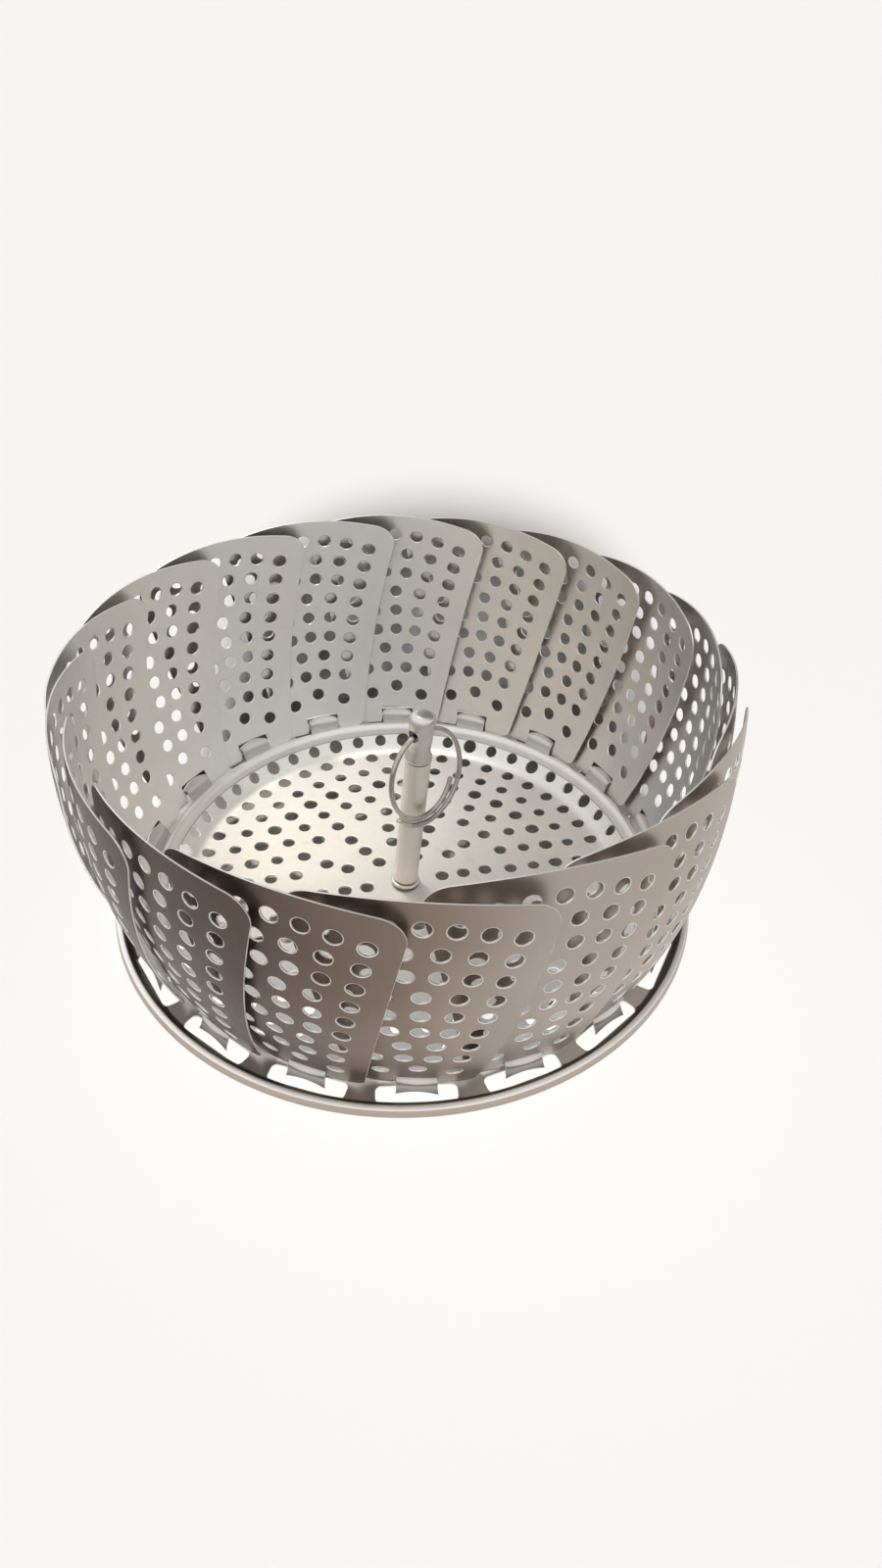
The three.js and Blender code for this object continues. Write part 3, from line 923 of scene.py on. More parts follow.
@dataclass
class Petals:
    """The overlapping leaves, one bent and perforated sheet repeated round the base.

    Attributes:
        thickness: Thickness of the sheet.
        length: Length above the hinge line.
        drop: Length below the hinge line, where the tongue holds the leaf.
        bottom_width: Width at the hinge line.
        top_width: Width at the top.
        top_arch: Fall of the top edge from its middle to its corners.
        top_corner: Height of the top corners' rounding.
        bottom_corner: Height of the bottom corners' rounding.
        bottom_flat: Share of the half width at which the bottom corners start.
        top_flat: Share of the half width at which the top corners start.
        lean_bottom: Outward lean at the hinge, in degrees.
        lean_top: Outward lean at the top, in degrees.
        yaw_bottom: Slope across the leaf at the hinge.
        yaw_top: Slope across the leaf at the top.
        cross_curve: Bend across the leaf.
        slot_half_width: Half of the width of the tongue's slot.
        slot_bottom: Height of the slot's lower edge above the hinge.
        slot_top: Height of its upper edge.
        slot_corner: Radius of its corners.
        hole_diameter: Diameter of the steam holes.
        hole_sides: Points on each hole.
        row_counts: Holes in each row, from the top.
        top_row: Distance of the top row from the hinge.
        row_pitch: Distance between rows.
        bottom_row_reach: Half of the length of the bottom row.
        reach_growth: Growth of that half from each row to the one above.
        row_droop_radius: Radius of the rows' bend.
        bottom_row_fall: Extra fall of the bottom row's ends.
        rounding: Width of the rounded edge.
        hole_rounding: Width of the rounded edge of the holes.
        edge_points: Points on the bottom edge and on the top edge.
        side_points: Points on each side, with its corners.
        slot_spacing: Distance between points on the slot's long sides.
        fill_reach: Half of the width that the loose points are laid over.
        fill_spacing: Distance between the loose points.
        edge_margin: Least distance of the loose points from the edges.
        slot_margin: Their least distance from the slot.
        hole_margin: Their least distance from the holes.
        lobe: How far the leaf comes down beside its tongue.
        lobe_start: Share of the half width at which it starts to come down.
        lobe_end: Share of the half width at which it is down.
        set_in: How far in the leaves at the right sit at rest, in degrees.
        set_in_ease: How much less each next leaf sits in.
        set_in_first: Number of the first leaf that sits in all the way.
        set_in_start: How far in the leaf before that one sits.
    """

    thickness: float = 0.4
    length: float = 60.0
    drop: float = 0.5
    bottom_width: float = 24.0
    top_width: float = 49.4
    top_arch: float = 3.0
    top_corner: float = 5.0
    bottom_corner: float = 2.3
    bottom_flat: float = 0.65
    top_flat: float = 0.76
    lean_bottom: float = 22.7
    lean_top: float = -6.4
    yaw_bottom: float = 0.075
    yaw_top: float = 0.124
    cross_curve: float = -0.0088
    slot_half_width: float = 4.5
    slot_bottom: float = 0.5
    slot_top: float = 2.3
    slot_corner: float = 0.4
    hole_diameter: float = 3.2
    hole_sides: int = 24
    row_counts: tuple[int, ...] = (7, 6, 6, 5, 5, 5, 4, 4, 3)
    top_row: float = 54.3
    row_pitch: float = 5.71
    bottom_row_reach: float = 7.1
    reach_growth: float = 1.22
    row_droop_radius: float = 45.0
    bottom_row_fall: float = 1.7
    rounding: float = 0.1
    hole_rounding: float = 0.28
    edge_points: int = 121
    side_points: int = 42
    slot_spacing: float = 1.2
    fill_reach: float = 24.0
    fill_spacing: float = 2.2
    edge_margin: float = 0.8
    slot_margin: float = 0.7
    hole_margin: float = 0.6
    lobe: float = 1.85
    lobe_start: float = 0.36
    lobe_end: float = 0.40
    set_in: float = 2.6
    set_in_ease: float = 0.35
    set_in_first: int = 16
    set_in_start: float = 2.3

    def half_width(self, s: Array) -> Array:
        """Half of the leaf's width at a distance above the hinge."""
        return 0.5 * (self.bottom_width + (self.top_width - self.bottom_width) * s / self.length)

    def middle(self, flat: Array) -> Array:
        """Points of the middle surface.

        Along the leaf, the lean runs evenly from bottom to top, which makes a circular arc. Across it, a
        slope that grows upward turns one edge outward, and a parabola bends both edges inward.

        Args:
            flat: Distance across and distance above the hinge, shape (n, 2).

        Returns:
            Points with x outward, y along the rim and z up.
        """
        u, s = flat[:, 0], flat[:, 1]
        low, high = np.radians(self.lean_bottom), np.radians(self.lean_top)
        bend = (high - low) / self.length
        lean = low + bend * s
        yaw = self.yaw_bottom + (self.yaw_top - self.yaw_bottom) * np.maximum(s, 0.0) / self.length
        across = u / np.hypot(1.0, yaw)
        x = HINGE_RADIUS - (np.cos(lean) - np.cos(low)) / bend + yaw * across
        x += self.cross_curve * u * u
        z = HINGE_HEIGHT + (np.sin(lean) - np.sin(low)) / bend
        return np.stack([x, across, z + FLOOR_TOP], axis=-1)

    def place(self, flat: Array, lift: Array) -> Array:
        """Points off the middle surface, along its normal from central differences.

        Args:
            flat: Distance across and distance above the hinge, shape (n, 2).
            lift: Distance off the surface.

        Returns:
            Points with x outward, y along the rim and z up.
        """
        step = 0.05
        side, rise = np.array([step, 0.0]), np.array([0.0, step])
        across = self.middle(flat + side) - self.middle(flat - side)
        along = self.middle(flat + rise) - self.middle(flat - rise)
        return self.middle(flat) + unit(np.cross(across, along)) * lift[:, None]

    def corner_rise(self, share: Array, flat_share: float, size: float) -> Array:
        """How far an elliptic corner pulls an edge back, for places from -1 to 1 across the leaf."""
        into = np.clip((np.abs(share) - flat_share) / (1.0 - flat_share), 0.0, 1.0)
        return size * (1.0 - np.sqrt(1.0 - into**2))

    def low_edge(self, share: Array) -> Array:
        """Distance of the bottom edge from the hinge, with a smooth step down on each side of the tongue.

        Args:
            share: Places from -1 to 1 across the leaf.

        Returns:
            The distances, below 0 under the hinge.
        """
        width = self.lobe_end - self.lobe_start
        step = np.clip((np.abs(share) - self.lobe_start) / width, 0.0, 1.0)
        lobes = self.lobe * step**2 * (3.0 - 2.0 * step)
        return -self.drop - lobes + self.corner_rise(share, self.bottom_flat, self.bottom_corner)

    def high_edge(self, share: Array) -> Array:
        """Distance of the top edge from the hinge, across the leaf."""
        corners = self.corner_rise(share, self.top_flat, self.top_corner)
        return self.length - self.top_arch * share**2 - corners

    def outline(self) -> Array:
        """Edge of the flat leaf, counter-clockwise from its bottom left.

        Returns:
            Points of the outline.
        """
        share = np.sin(np.linspace(-0.5, 0.5, self.edge_points) * np.pi)
        low, high = self.low_edge(share), self.high_edge(share)
        side = np.linspace(low[-1], high[-1], self.side_points)[1:-1]
        ones = np.ones_like(side)
        shares = np.concatenate([share, ones, share[::-1], -ones])
        heights = np.concatenate([low, side, high[::-1], side[::-1]])
        return np.stack([shares * self.half_width(heights), heights], axis=-1)

    def hole_centres(self) -> Array:
        """Centres of the steam holes, in rows that droop toward the leaf's sides.

        Returns:
            Flat points, shape (n, 2).
        """
        counts = np.array(self.row_counts)
        row = np.repeat(np.arange(len(counts)), counts)
        first = np.repeat(np.cumsum(counts) - counts, counts)
        share = 2.0 * (np.arange(counts.sum()) - first) / (counts[row] - 1) - 1.0
        reach = self.bottom_row_reach + self.reach_growth * (len(counts) - 1 - row)
        u = share * reach
        fall = np.where(row == len(counts) - 1, self.bottom_row_fall * share**2, 0.0)
        droop = u**2 / (2 * self.row_droop_radius)
        return np.stack([u, self.top_row - self.row_pitch * row - droop - fall], axis=-1)

    def fill_points(self, centres: Array) -> Array:
        """Loose points on a grid inside the leaf, clear of its edges, holes and slot.

        Args:
            centres: Centres of the holes.

        Returns:
            Flat points, shape (n, 2).
        """
        points = grid_points(
            np.arange(-self.fill_reach, self.fill_reach, self.fill_spacing),
            np.arange(0.0, self.length, self.fill_spacing),
        )
        u, s = points[:, 0], points[:, 1]
        share = u / self.half_width(s)
        inside = np.abs(share) < 1.0
        share = np.clip(share, -1.0, 1.0)
        inside &= s > self.low_edge(share) + self.edge_margin
        inside &= s < self.high_edge(share) - self.edge_margin
        inside &= (1.0 - np.abs(share)) * self.half_width(s) > self.edge_margin
        in_slot = np.abs(u) < self.slot_half_width + self.slot_margin
        in_slot &= s < self.slot_top + self.slot_margin
        room = np.full(len(centres), 0.5 * self.hole_diameter + self.hole_margin)
        return points[inside & ~in_slot & clear_of(points, centres, room)]

    def skin(self) -> Skin:
        """The perforated leaf at azimuth 0.

        Returns:
            The closed skin.
        """
        centres = self.hole_centres()
        half, steps = self.slot_half_width, 5
        low, high = (-half, self.slot_bottom), (half, self.slot_top)
        slot = rounded_rectangle(low, high, self.slot_corner, steps)
        loops = [Loop.around(self.outline(), self.rounding, False)]
        loops.append(Loop.around(thicken_outline(slot, self.slot_spacing), self.rounding, True))
        diameters = np.full(len(centres), self.hole_diameter)
        loops += round_cuts(centres, diameters, self.hole_rounding, self.hole_sides)
        sheet = PressedSheet(self.thickness, self.rounding, self.place)
        return sheet.skin(loops, self.fill_points(centres))

    def sits_in(self, number: int) -> float:
        """How far in a leaf sits at rest: most at the right, then less by an even step for each next leaf.

        Args:
            number: The leaf's number, from 1.

        Returns:
            The angle in degrees.
        """
        if number == self.set_in_first - 1:
            return self.set_in_start
        if number >= self.set_in_first:
            return self.set_in
        return max(0.0, self.set_in - self.set_in_ease * number)

    def stand(self, skin: Skin, number: int) -> Skin:
        """Turns the leaf in about its hinge as far as it sits, then round the basket to its place.

        Args:
            skin: The leaf at azimuth 0.
            number: The leaf's number, from 1.

        Returns:
            The leaf in its place.
        """
        azimuth = leaf_azimuth(number - 1)
        turn = -self.sits_in(number)
        hinge = np.array([HINGE_RADIUS, 0.0, HINGE_HEIGHT + FLOOR_TOP])

        def spin(vectors: Array) -> Array:
            """Turns directions."""
            return turn_about_z(turn_about_axis(vectors, HINGE_AXIS, turn), azimuth)

        def carry(points: Array) -> Array:
            """Turns points, with the hinge kept in its place."""
            return spin(points - hinge) + turn_about_z(hinge[None], azimuth)

        return skin.moved(carry, spin)

    def build(self) -> None:
        """Makes one petal for each leaf of the frame."""
        skin = self.skin()
        material = PETAL_STEEL.build()
        for number in range(1, LEAF_COUNT + 1):
            node = f"leaf_{number:02d}"
            petal = self.stand(skin, number).write(f"petal_{number:02d}")
            dress(petal, material, node, Slot.LEAF, node)


@dataclass(frozen=True)
class HoleRing:
    """One ring of steam holes in the floor.

    Attributes:
        count: Holes in the ring.
        radius: Distance of their centres from the axis.
        phase: Angle of the first hole, in degrees.
        diameter: Hole diameter.
        third: Diameter of every third hole.
    """

    count: int
    radius: float
    phase: float
    diameter: float
    third: float


@dataclass
class BasePlate:
    """The stamped base: perforated floor, wall, bead, flange with windows, rim and tongues.

    The sheet is a disc whose radius is the length along the profile from the centre, so the floor is
    flat in place and the rest is bent up and down round the axis.

    Attributes:
        thickness: Thickness of the sheet.
        rounding: Width of the rounded edge.
        stud_hole: Diameter of the hole for the post's stud.
        hole_sides: Points on each hole.
        hole_rounding: Width of the rounded edge of the steam holes.
        window_half_width: Half of the length of a window along the flange.
        window_inner: Distance of a window's inner side from the axis.
        window_outer: Distance of its outer side.
        window_corner: Radius of its corners.
        window_margin: Least distance of the loose points from the windows.
        window_spacing: Distance between points on a window's long sides.
        tongue_half_width: Half of a tongue's width.
        tongue_flare: How much wider each side of its end is.
        tongue_sheet: Its thickness.
        tongue_radius: Radius of its arch over the leaf's bottom bar.
        tongue_hollow: How far its end is hollowed.
        tongue_crown: How far the middle of its arch is raised.
        tongue_crown_length: Length along the arch that is raised.
        tongue_join: Length in which it comes to follow the bow of the leaf's bar.
        tongue_bend: Rounding of the corners of its end.
        tongue_root: Distance inside the bead's outer wall, and height, where it starts.
        tongue_fall: Distance outside the hinge, and height, of its end's corners.
        crease: Number of the profile's corner at the top of the sloped wall.
        bead_end: Number of the corner where the bead turns down.
        flange_start: Number of the corner at the flange's inner edge.
        flange_end: Number of the corner at its outer edge.
        crest: Number of the corner on top of the rim.
        brim: Number of the corner at the rim's outer edge.
        corners: Radius, height and rounding of the corners of the top face's profile.
        rings: Rings of steam holes, the first of them on the sloped wall.
        flat_end: Length along the profile up to which the loose points keep to the flat floor.
        ring_start: Radius of the first ring of loose points.
        ring_spacing: Distance between the rings of loose points on the floor.
        floor_points: Loose points on each of those rings.
        bend_points: Loose points on each ring where the profile bends.
        rim_points: Points on the outer edge.
        rim_margin: Least distance of the loose points from the outer edge.
        hole_margin: Their least distance from the holes.
        profile: The top face's profile with its corners rounded.
    """

    thickness: float = 0.6
    rounding: float = 0.12
    stud_hole: float = 5.2
    hole_sides: int = 24
    hole_rounding: float = 0.28
    window_half_width: float = 8.3
    window_inner: float = BEAD_OUTER + 0.9
    window_outer: float = RIM_RADIUS - 3.55
    window_corner: float = 1.2
    window_margin: float = 0.4
    window_spacing: float = 0.9
    tongue_half_width: float = 4.1
    tongue_flare: float = 0.2
    tongue_sheet: float = 0.4
    tongue_radius: float = 0.85
    tongue_hollow: float = 0.7
    tongue_crown: float = 1.1
    tongue_crown_length: float = 1.3
    tongue_join: float = 1.2
    tongue_bend: float = 0.5
    tongue_root: Point = (0.2, 4.9)
    tongue_fall: tuple[Point, Point] = ((1.35, 5.7), (1.95, 4.5))
    crease: int = 2
    bead_end: int = 5
    flange_start: int = 7
    flange_end: int = 8
    crest: int = 10
    brim: int = 11
    corners: tuple[tuple[float, float, float], ...] = (
        (0.0, 0.0, 0.0), (BEAD_OUTER - 7.3, 0.0, 2.4), (BEAD_OUTER - 3.5, 3.5, 0.4),
        (BEAD_OUTER - 2.8, 5.2, 0.8), (BEAD_OUTER - 1.5, 6.05, 0.75), (BEAD_OUTER - 0.3, 5.6, 0.6),
        (BEAD_OUTER, 4.4, 0.4), (BEAD_OUTER, 3.6, 0.35), (RIM_RADIUS - 3.05, 3.6, 0.3),
        (RIM_RADIUS - 2.8, 4.7, 0.5), (RIM_RADIUS - 1.65, 5.6, 0.8), (RIM_RADIUS - 0.25, 5.2, 0.4),
        (RIM_RADIUS, 3.3, 0.0),
    )
    rings: tuple[HoleRing, ...] = (
        HoleRing(54, 56.7, 173.3, 2.9, 3.5),
        HoleRing(48, 51.6, 170.8, 3.2, 3.2),
        HoleRing(42, 45.4, 167.6, 2.9, 2.9),
        HoleRing(36, 39.5, 173.3, 3.45, 3.45),
        HoleRing(30, 33.6, 169.2, 2.9, 2.9),
        HoleRing(24, 27.5, 178.1, 3.1, 3.1),
        HoleRing(12, 20.9, 134.9, 3.2, 3.2),
        HoleRing(12, 15.2, 134.9, 3.2, 3.2),
        HoleRing(6, 9.65, 135.5, 3.2, 3.2),
    )
    flat_end: float = 52.0
    ring_start: float = 4.0
    ring_spacing: float = 2.4
    floor_points: int = 60
    bend_points: int = 324
    rim_points: int = 432
    rim_margin: float = 0.25
    hole_margin: float = 0.45
    profile: ProfileLine = field(init=False)

    def __post_init__(self) -> None:
        """Rounds the profile's corners."""
        corners = np.array(self.corners)
        self.profile = ProfileLine(rounded_line(corners[:, :2], corners[1:-1, 2:], 9))

    def place(self, flat: Array, lift: Array) -> Array:
        """Bends the flat disc: its radius is read as length along the profile, its angle stays.

        Args:
            flat: Points of the disc, shape (n, 2).
            lift: Distance off the middle of the sheet.

        Returns:
            Points in place.
        """
        distance = np.linalg.norm(flat, axis=1)
        bent = self.profile.at(distance, lift - 0.5 * self.thickness)
        spread = unit(flat) * bent[:, :1]
        return np.column_stack([spread, bent[:, 1] + FLOOR_TOP])

    def on_disc(self, radius: Array, angle: Array, first: float, last: float) -> Array:
        """Flat points of places given by radius and angle.

        Args:
            radius: Distance of each place from the axis.
            angle: Its azimuth, in radians.
            first: Length along the profile from which the radius is looked up.
            last: Length up to which it is.

        Returns:
            Points of the disc, shape (n, 2).
        """
        inside = (self.profile.along >= first) & (self.profile.along <= last)
        distance = np.interp(radius, self.profile.points[inside, 0], self.profile.along[inside])
        return np.stack([distance * np.cos(angle), distance * np.sin(angle)], axis=-1)

    def length_at(self, corner: int) -> float:
        """Length along the profile at which it passes nearest a corner."""
        gaps = np.linalg.norm(self.profile.points - np.array(self.corners[corner][:2]), axis=1)
        return float(self.profile.along[np.argmin(gaps)])

    def holes(self) -> tuple[Array, Array]:
        """Steam holes on the flat disc.

        Returns:
            Centres and diameters of all the holes.
        """
        centres, diameters = [], []
        wall_end = self.length_at(self.crease)
        for ring in self.rings:
            number = np.arange(ring.count)
            angle = np.radians(ring.phase) + 2 * np.pi * number / ring.count
            centres.append(self.on_disc(np.full(ring.count, ring.radius), angle, 0.0, wall_end))
            diameters.append(np.where(number % 3 == 0, ring.third, ring.diameter))
        return np.vstack(centres), np.concatenate(diameters)

    def bands(self) -> tuple[Band, ...]:
        """Tones across the sheet: painted shade in the crease, a grey flange, near-black painted shade on
        the rim's inner slope, a painted highlight along its crest and brown painted shade down its outer
        wall.

        Returns:
            Bands over the length along the profile.
        """
        crease, bead, foot, rim_foot, crest, edge = (
            self.length_at(corner)
            for corner in (
                self.crease, self.bead_end, self.flange_start, self.flange_end, self.crest, self.brim
            )
        )
        # The second colour is painted shade for the crease and the rim's inner slope, and the third a
        # painted highlight along the rim's crest.
        clean, painted_shade, bright = BASE_STEEL.clean, (0.08, 0.065, 0.055), (0.99, 0.97, 0.94)
        # The brown colour here is painted shade down the rim's outer wall.
        flange, outer_wall_shade = (0.74, 0.70, 0.645), (0.42, 0.335, 0.285)
        return (
            (0.0, clean, 0.0), (crease - 0.35, clean, 0.0),
            # Painted shade in the crease at the top of the sloped wall.
            (crease, painted_shade, 0.8), (crease + 0.35, clean, 0.0),
            (bead, clean, 0.0), (foot - 0.6, flange, 0.7), (foot + 0.4, flange, 0.8),
            # Near-black painted shade on the rim's inner slope, from its foot to the crest.
            (rim_foot - 0.3, flange, 0.75), (rim_foot, painted_shade, 0.95), (crest - 0.05, painted_shade, 0.95),
            # Painted highlight along the rim's crest, then the brown painted shade of its outer wall
            # begins.
            (crest + 0.15, bright, 1.0), (edge - 0.2, bright, 1.0), (edge + 0.05, outer_wall_shade, 0.85),
            (edge + 0.5, outer_wall_shade, 0.85), (self.profile.length, outer_wall_shade, 0.9),
        )

    def windows(self) -> list[Loop]:
        """Rounded windows in the flange, one under each leaf.

        Returns:
            One loop for each window.
        """
        outline = thicken_outline(rounded_rectangle(
            (self.window_inner, -self.window_half_width), (self.window_outer, self.window_half_width),
            self.window_corner, 6,
        ), self.window_spacing)
        first, last = self.length_at(self.flange_start) + 0.2, self.length_at(self.flange_end)
        radius = np.hypot(outline[:, 0], outline[:, 1])
        angle = np.arctan2(outline[:, 1], outline[:, 0])
        turns = np.radians(leaf_azimuth(np.arange(LEAF_COUNT)))
        places = [self.on_disc(radius, turn + angle, first, last) for turn in turns]
        return [Loop.around(place, self.rounding, True) for place in places]

    def fill_points(self, centres: Array, diameters: Array) -> Array:
        """Loose points: rings round the axis, close together where the profile bends.

        Args:
            centres: Centres of the holes.
            diameters: Diameters of the holes.

        Returns:
            Points of the disc, clear of holes and windows.
        """
        along = self.profile.along
        bends = along[(along > self.flat_end) & (along < self.profile.length - self.rim_margin)]
        rings = np.arange(self.ring_start, self.flat_end, self.ring_spacing)
        points = np.vstack([
            (radii[:, None, None] * circle(count)).reshape(-1, 2)
            for radii, count in ((rings, self.floor_points), (bends, self.bend_points))
        ])
        points = points[clear_of(points, centres, 0.5 * diameters + self.hole_margin)]
        distance = np.linalg.norm(points, axis=1)
        half_step = 0.5 * LEAF_STEP
        turned = np.degrees(np.arctan2(points[:, 1], points[:, 0])) - LEAF_PHASE + half_step
        off_middle = np.radians(np.mod(turned, LEAF_STEP) - half_step)
        beyond = self.window_outer + 0.5
        beside = np.abs(np.sin(off_middle)) * beyond < self.window_half_width + self.window_margin
        first, last = self.length_at(self.flange_start), self.length_at(self.flange_end) + 0.3
        return points[~(beside & (distance > first) & (distance < last))]

    def tongue(self) -> Skin:
        """One tongue at azimuth 0: a strip from the bead over the leaf's bottom bar, hollow at its end.

        Returns:
            The closed skin.
        """
        reach, height, arch = HINGE_RADIUS, HINGE_HEIGHT, self.tongue_radius
        arch_points, end_points, side_points = 25, 13, 30
        inside, root_height = self.tongue_root
        fall = np.array([(arch, height), *self.tongue_fall]) + np.array([reach, 0.0])
        path = ProfileLine(np.vstack([
            [[BEAD_OUTER - inside, root_height]],
            arc_points((reach, height), arch, 180.0, 0.0, arch_points),
            rounded_line(fall, self.tongue_bend)[1:],
        ]))
        top = float(path.along[np.argmax(path.points[:, 1])])
        half = self.tongue_half_width
        bar = Petals()

        def place(flat: Array, lift: Array) -> Array:
            """Flat points run along the tongue's path and across it, crowned, and bowed as the bar is."""
            along, across = flat[:, 0], flat[:, 1]
            rise = np.exp(-(((along - top) / self.tongue_crown_length) ** 2)) * (1.0 - (across / half) ** 2)
            bent = path.at(along, lift + self.tongue_crown * np.maximum(rise, 0.0))
            follow = np.clip(along / self.tongue_join, 0.0, 1.0)
            bow = bar.yaw_bottom * across + bar.cross_curve * across**2
            return np.stack([bent[:, 0] + follow * bow, across, bent[:, 1] + FLOOR_TOP], axis=-1)

        share = np.linspace(-1.0, 1.0, end_points)
        end = path.length - self.tongue_hollow * (1.0 - share**2)
        sides = np.linspace(0.0, path.length, side_points)[1:-1]
        flared = half + self.tongue_flare * (sides / path.length) ** 6
        outline = np.vstack([
            np.stack([np.zeros_like(share), share[::-1] * half], axis=-1),
            np.stack([sides, -flared], axis=-1),
            np.stack([end, share * (half + self.tongue_flare)], axis=-1),
            np.stack([sides[::-1], flared[::-1]], axis=-1),
        ])
        fill = grid_points(np.linspace(0.3, path.length - 1.4, 26), np.linspace(-half, half, 9)[1:-1])
        return PressedSheet(self.tongue_sheet, self.rounding, place).skin(
            [Loop.around(outline, self.rounding, False)], fill
        )

    def build(self) -> None:
        """Makes the plate and its tongues."""
        centres, diameters = self.holes()
        rim = self.profile.length * circle(self.rim_points)
        loops = [Loop.around(rim, self.rounding, False)] + self.windows()
        loops += round_cuts(centres, diameters, self.hole_rounding, self.hole_sides)
        stud = np.array([self.stud_hole])
        loops += round_cuts(np.zeros((1, 2)), stud, self.rounding, self.hole_sides)
        sheet = PressedSheet(self.thickness, self.rounding, self.place)
        plate = sheet.skin(loops, self.fill_points(centres, diameters))
        tongue = self.tongue()
        tongues = [
            tongue.moved(lambda points: turn_about_z(points, turn))
            for turn in leaf_azimuth(np.arange(LEAF_COUNT))
        ]
        # The whole underside of the plate takes painted shade.
        under = tuple((end, UNDERSIDE_SHADE, 0.8) for end in (0.0, self.profile.length))
        finish = replace(BASE_STEEL, bands=self.bands(), other_bands=under)
        dress(plate.write("perforated_base"), finish.build(), Body.BASE.value, Slot.BASE, "base_plate")
        hooks = Skin.joined(tongues).write("hinge_tongues")
        dress(hooks, TONGUE_STEEL.build(), Body.BASE.value, Slot.BASE)


@dataclass
class CentrePost:
    """The post: tube with a stud, screwed head with a cross hole, collar, nut and lift ring.

    Everything is turned about the post's own axis, which leans a little toward +X.

    Attributes:
        segments: Steps round the axis.
        nut_segments: Steps round the nut.
        corner_steps: Points on each rounded corner of the turned outlines.
        tube_edge: Rounding of the tube's corners.
        head_edge: Rounding of the head's corners.
        collar_edge: Rounding of the collar's corners.
        shaft_radius: Radius of the tube.
        shaft_bottom: Height of its foot.
        shaft_top: Height of its top.
        socket_radius: Radius of the socket for the head.
        socket_depth: Depth of that socket.
        stud_radius: Radius of the stud.
        stud_bottom: Height of the stud's end.
        bore: Radius of the bore of collar and nut.
        nut_radius: Radius over the corners of the nut.
        head_outline: Radius and height of the corners of the head's outline.
        cross_height: Height of the cross hole.
        cross_radius: Radius of the cross hole.
        cross_azimuth: Direction of the cross hole, in degrees.
        ring_radius: Middle radius of the ring's wire where it passes the hole.
        ring_wire: Radius of the wire.
        ring_pitch: Growth of the ring's radius in one turn.
        ring_start: Angle of the wire's inner end from the hole, in degrees.
        ring_end: Angle of its outer end.
        ring_lean: Lean of the hanging ring off the post, in degrees.
        ring_spring: How far the wire's inner end springs inward.
        ring_spring_start: Angle from which it does, in degrees.
        ring_steps: Points along the wire.
        ring_sides: Points round the wire.
    """

    segments: int = 72
    nut_segments: int = 120
    corner_steps: int = 5
    tube_edge: float = 0.22
    head_edge: float = 0.45
    collar_edge: float = 0.3
    shaft_radius: float = 3.0
    shaft_bottom: float = 1.7
    shaft_top: float = 38.8
    socket_radius: float = 1.9
    socket_depth: float = 6.0
    stud_radius: float = 1.8
    stud_bottom: float = -5.2
    bore: float = 2.15
    nut_radius: float = 4.0
    head_outline: tuple[Point, ...] = (
        (0.0, 33.6), (1.55, 33.6), (1.55, 39.1), (2.95, 39.1), (3.2, 39.5), (3.2, 40.0), (2.5, 41.7),
        (2.58, 42.6), (2.95, 48.8), (3.12, 49.5), (3.1, 50.2), (2.75, 51.1), (1.7, 51.75), (0.0, 51.9),
    )
    cross_height: float = 46.6
    cross_radius: float = 1.5
    cross_azimuth: float = 47.9
    ring_radius: float = 11.15
    ring_wire: float = 0.62
    ring_pitch: float = 1.35
    ring_start: float = -245.0
    ring_end: float = 236.0
    ring_lean: float = 13.9
    ring_spring: float = 1.4
    ring_spring_start: float = -120.0
    ring_steps: int = 220
    ring_sides: int = 20

    def stand(self, points: Array) -> Array:
        """Leans points of the post's own frame and sets them on the floor."""
        return self.lean(points) + np.array([0.0, 0.0, FLOOR_TOP])

    def lean(self, vectors: Array) -> Array:
        """Leans vectors of the post's own frame about the Y axis."""
        angle = np.radians(POST_LEAN)
        cos, sin = np.cos(angle), np.sin(angle)
        return vectors @ np.array([[cos, 0.0, -sin], [0.0, 1.0, 0.0], [sin, 0.0, cos]])

    def shaft(self) -> Skin:
        """Tube and stud, with softened ends and a socket for the head.

        Returns:
            The closed skin, in the post's own frame.
        """
        stud, low, end = self.stud_radius, self.shaft_bottom, self.stud_bottom
        tube, high, socket = self.shaft_radius, self.shaft_top, self.socket_radius
        floor = high - self.socket_depth
        outline = np.array([
            [0.0, end], [stud, end], [stud, low], [tube, low],
            [tube, high], [socket, high], [socket, floor], [0.0, floor],
        ])
        return turned_skin(rounded_line(outline, self.tube_edge, self.corner_steps), self.segments)

    def head(self) -> Skin:
        """Head: stub, round shoulder, slim neck and domed cap."""
        outline = np.array(self.head_outline)
        return turned_skin(rounded_line(outline, self.head_edge, self.corner_steps), self.segments)

    def collar(self) -> Skin:
        """Washer under the tube, with round edges."""
        bore, edge = self.bore, 3.6
        low, middle, high = 0.6, 1.0, 1.4
        outline = np.array([
            [bore, middle], [bore, low], [edge, low], [edge, high], [bore, high], [bore, middle],
        ])
        return turned_skin(rounded_line(outline, self.collar_edge, self.corner_steps), self.segments)

    def nut(self) -> Skin:
        """Hexagon nut: the radius at each angle is the lesser of a hexagon's and the chamfer cone's.

        Returns:
            The closed skin, in the post's own frame.
        """
        bore, face, widest = self.bore, 3.6, self.nut_radius
        low, low_chamfer, middle, high_chamfer, high = -4.3, -4.0, -2.8, -1.6, -1.3
        outline = np.array([
            [bore, middle], [bore, low], [face, low], [widest, low_chamfer],
            [widest, high_chamfer], [face, high], [bore, high], [bore, middle],
        ])

        def hexagon(radius: Array, angle: Array) -> Array:
            """Radius cut to a hexagon, except in the bore."""
            sector = np.mod(angle + np.pi / 6, np.pi / 3) - np.pi / 6
            flat_side = widest * np.cos(np.pi / 6) / np.cos(sector)
            return np.minimum(radius, flat_side)

        return turned_skin(outline, self.nut_segments, hexagon)

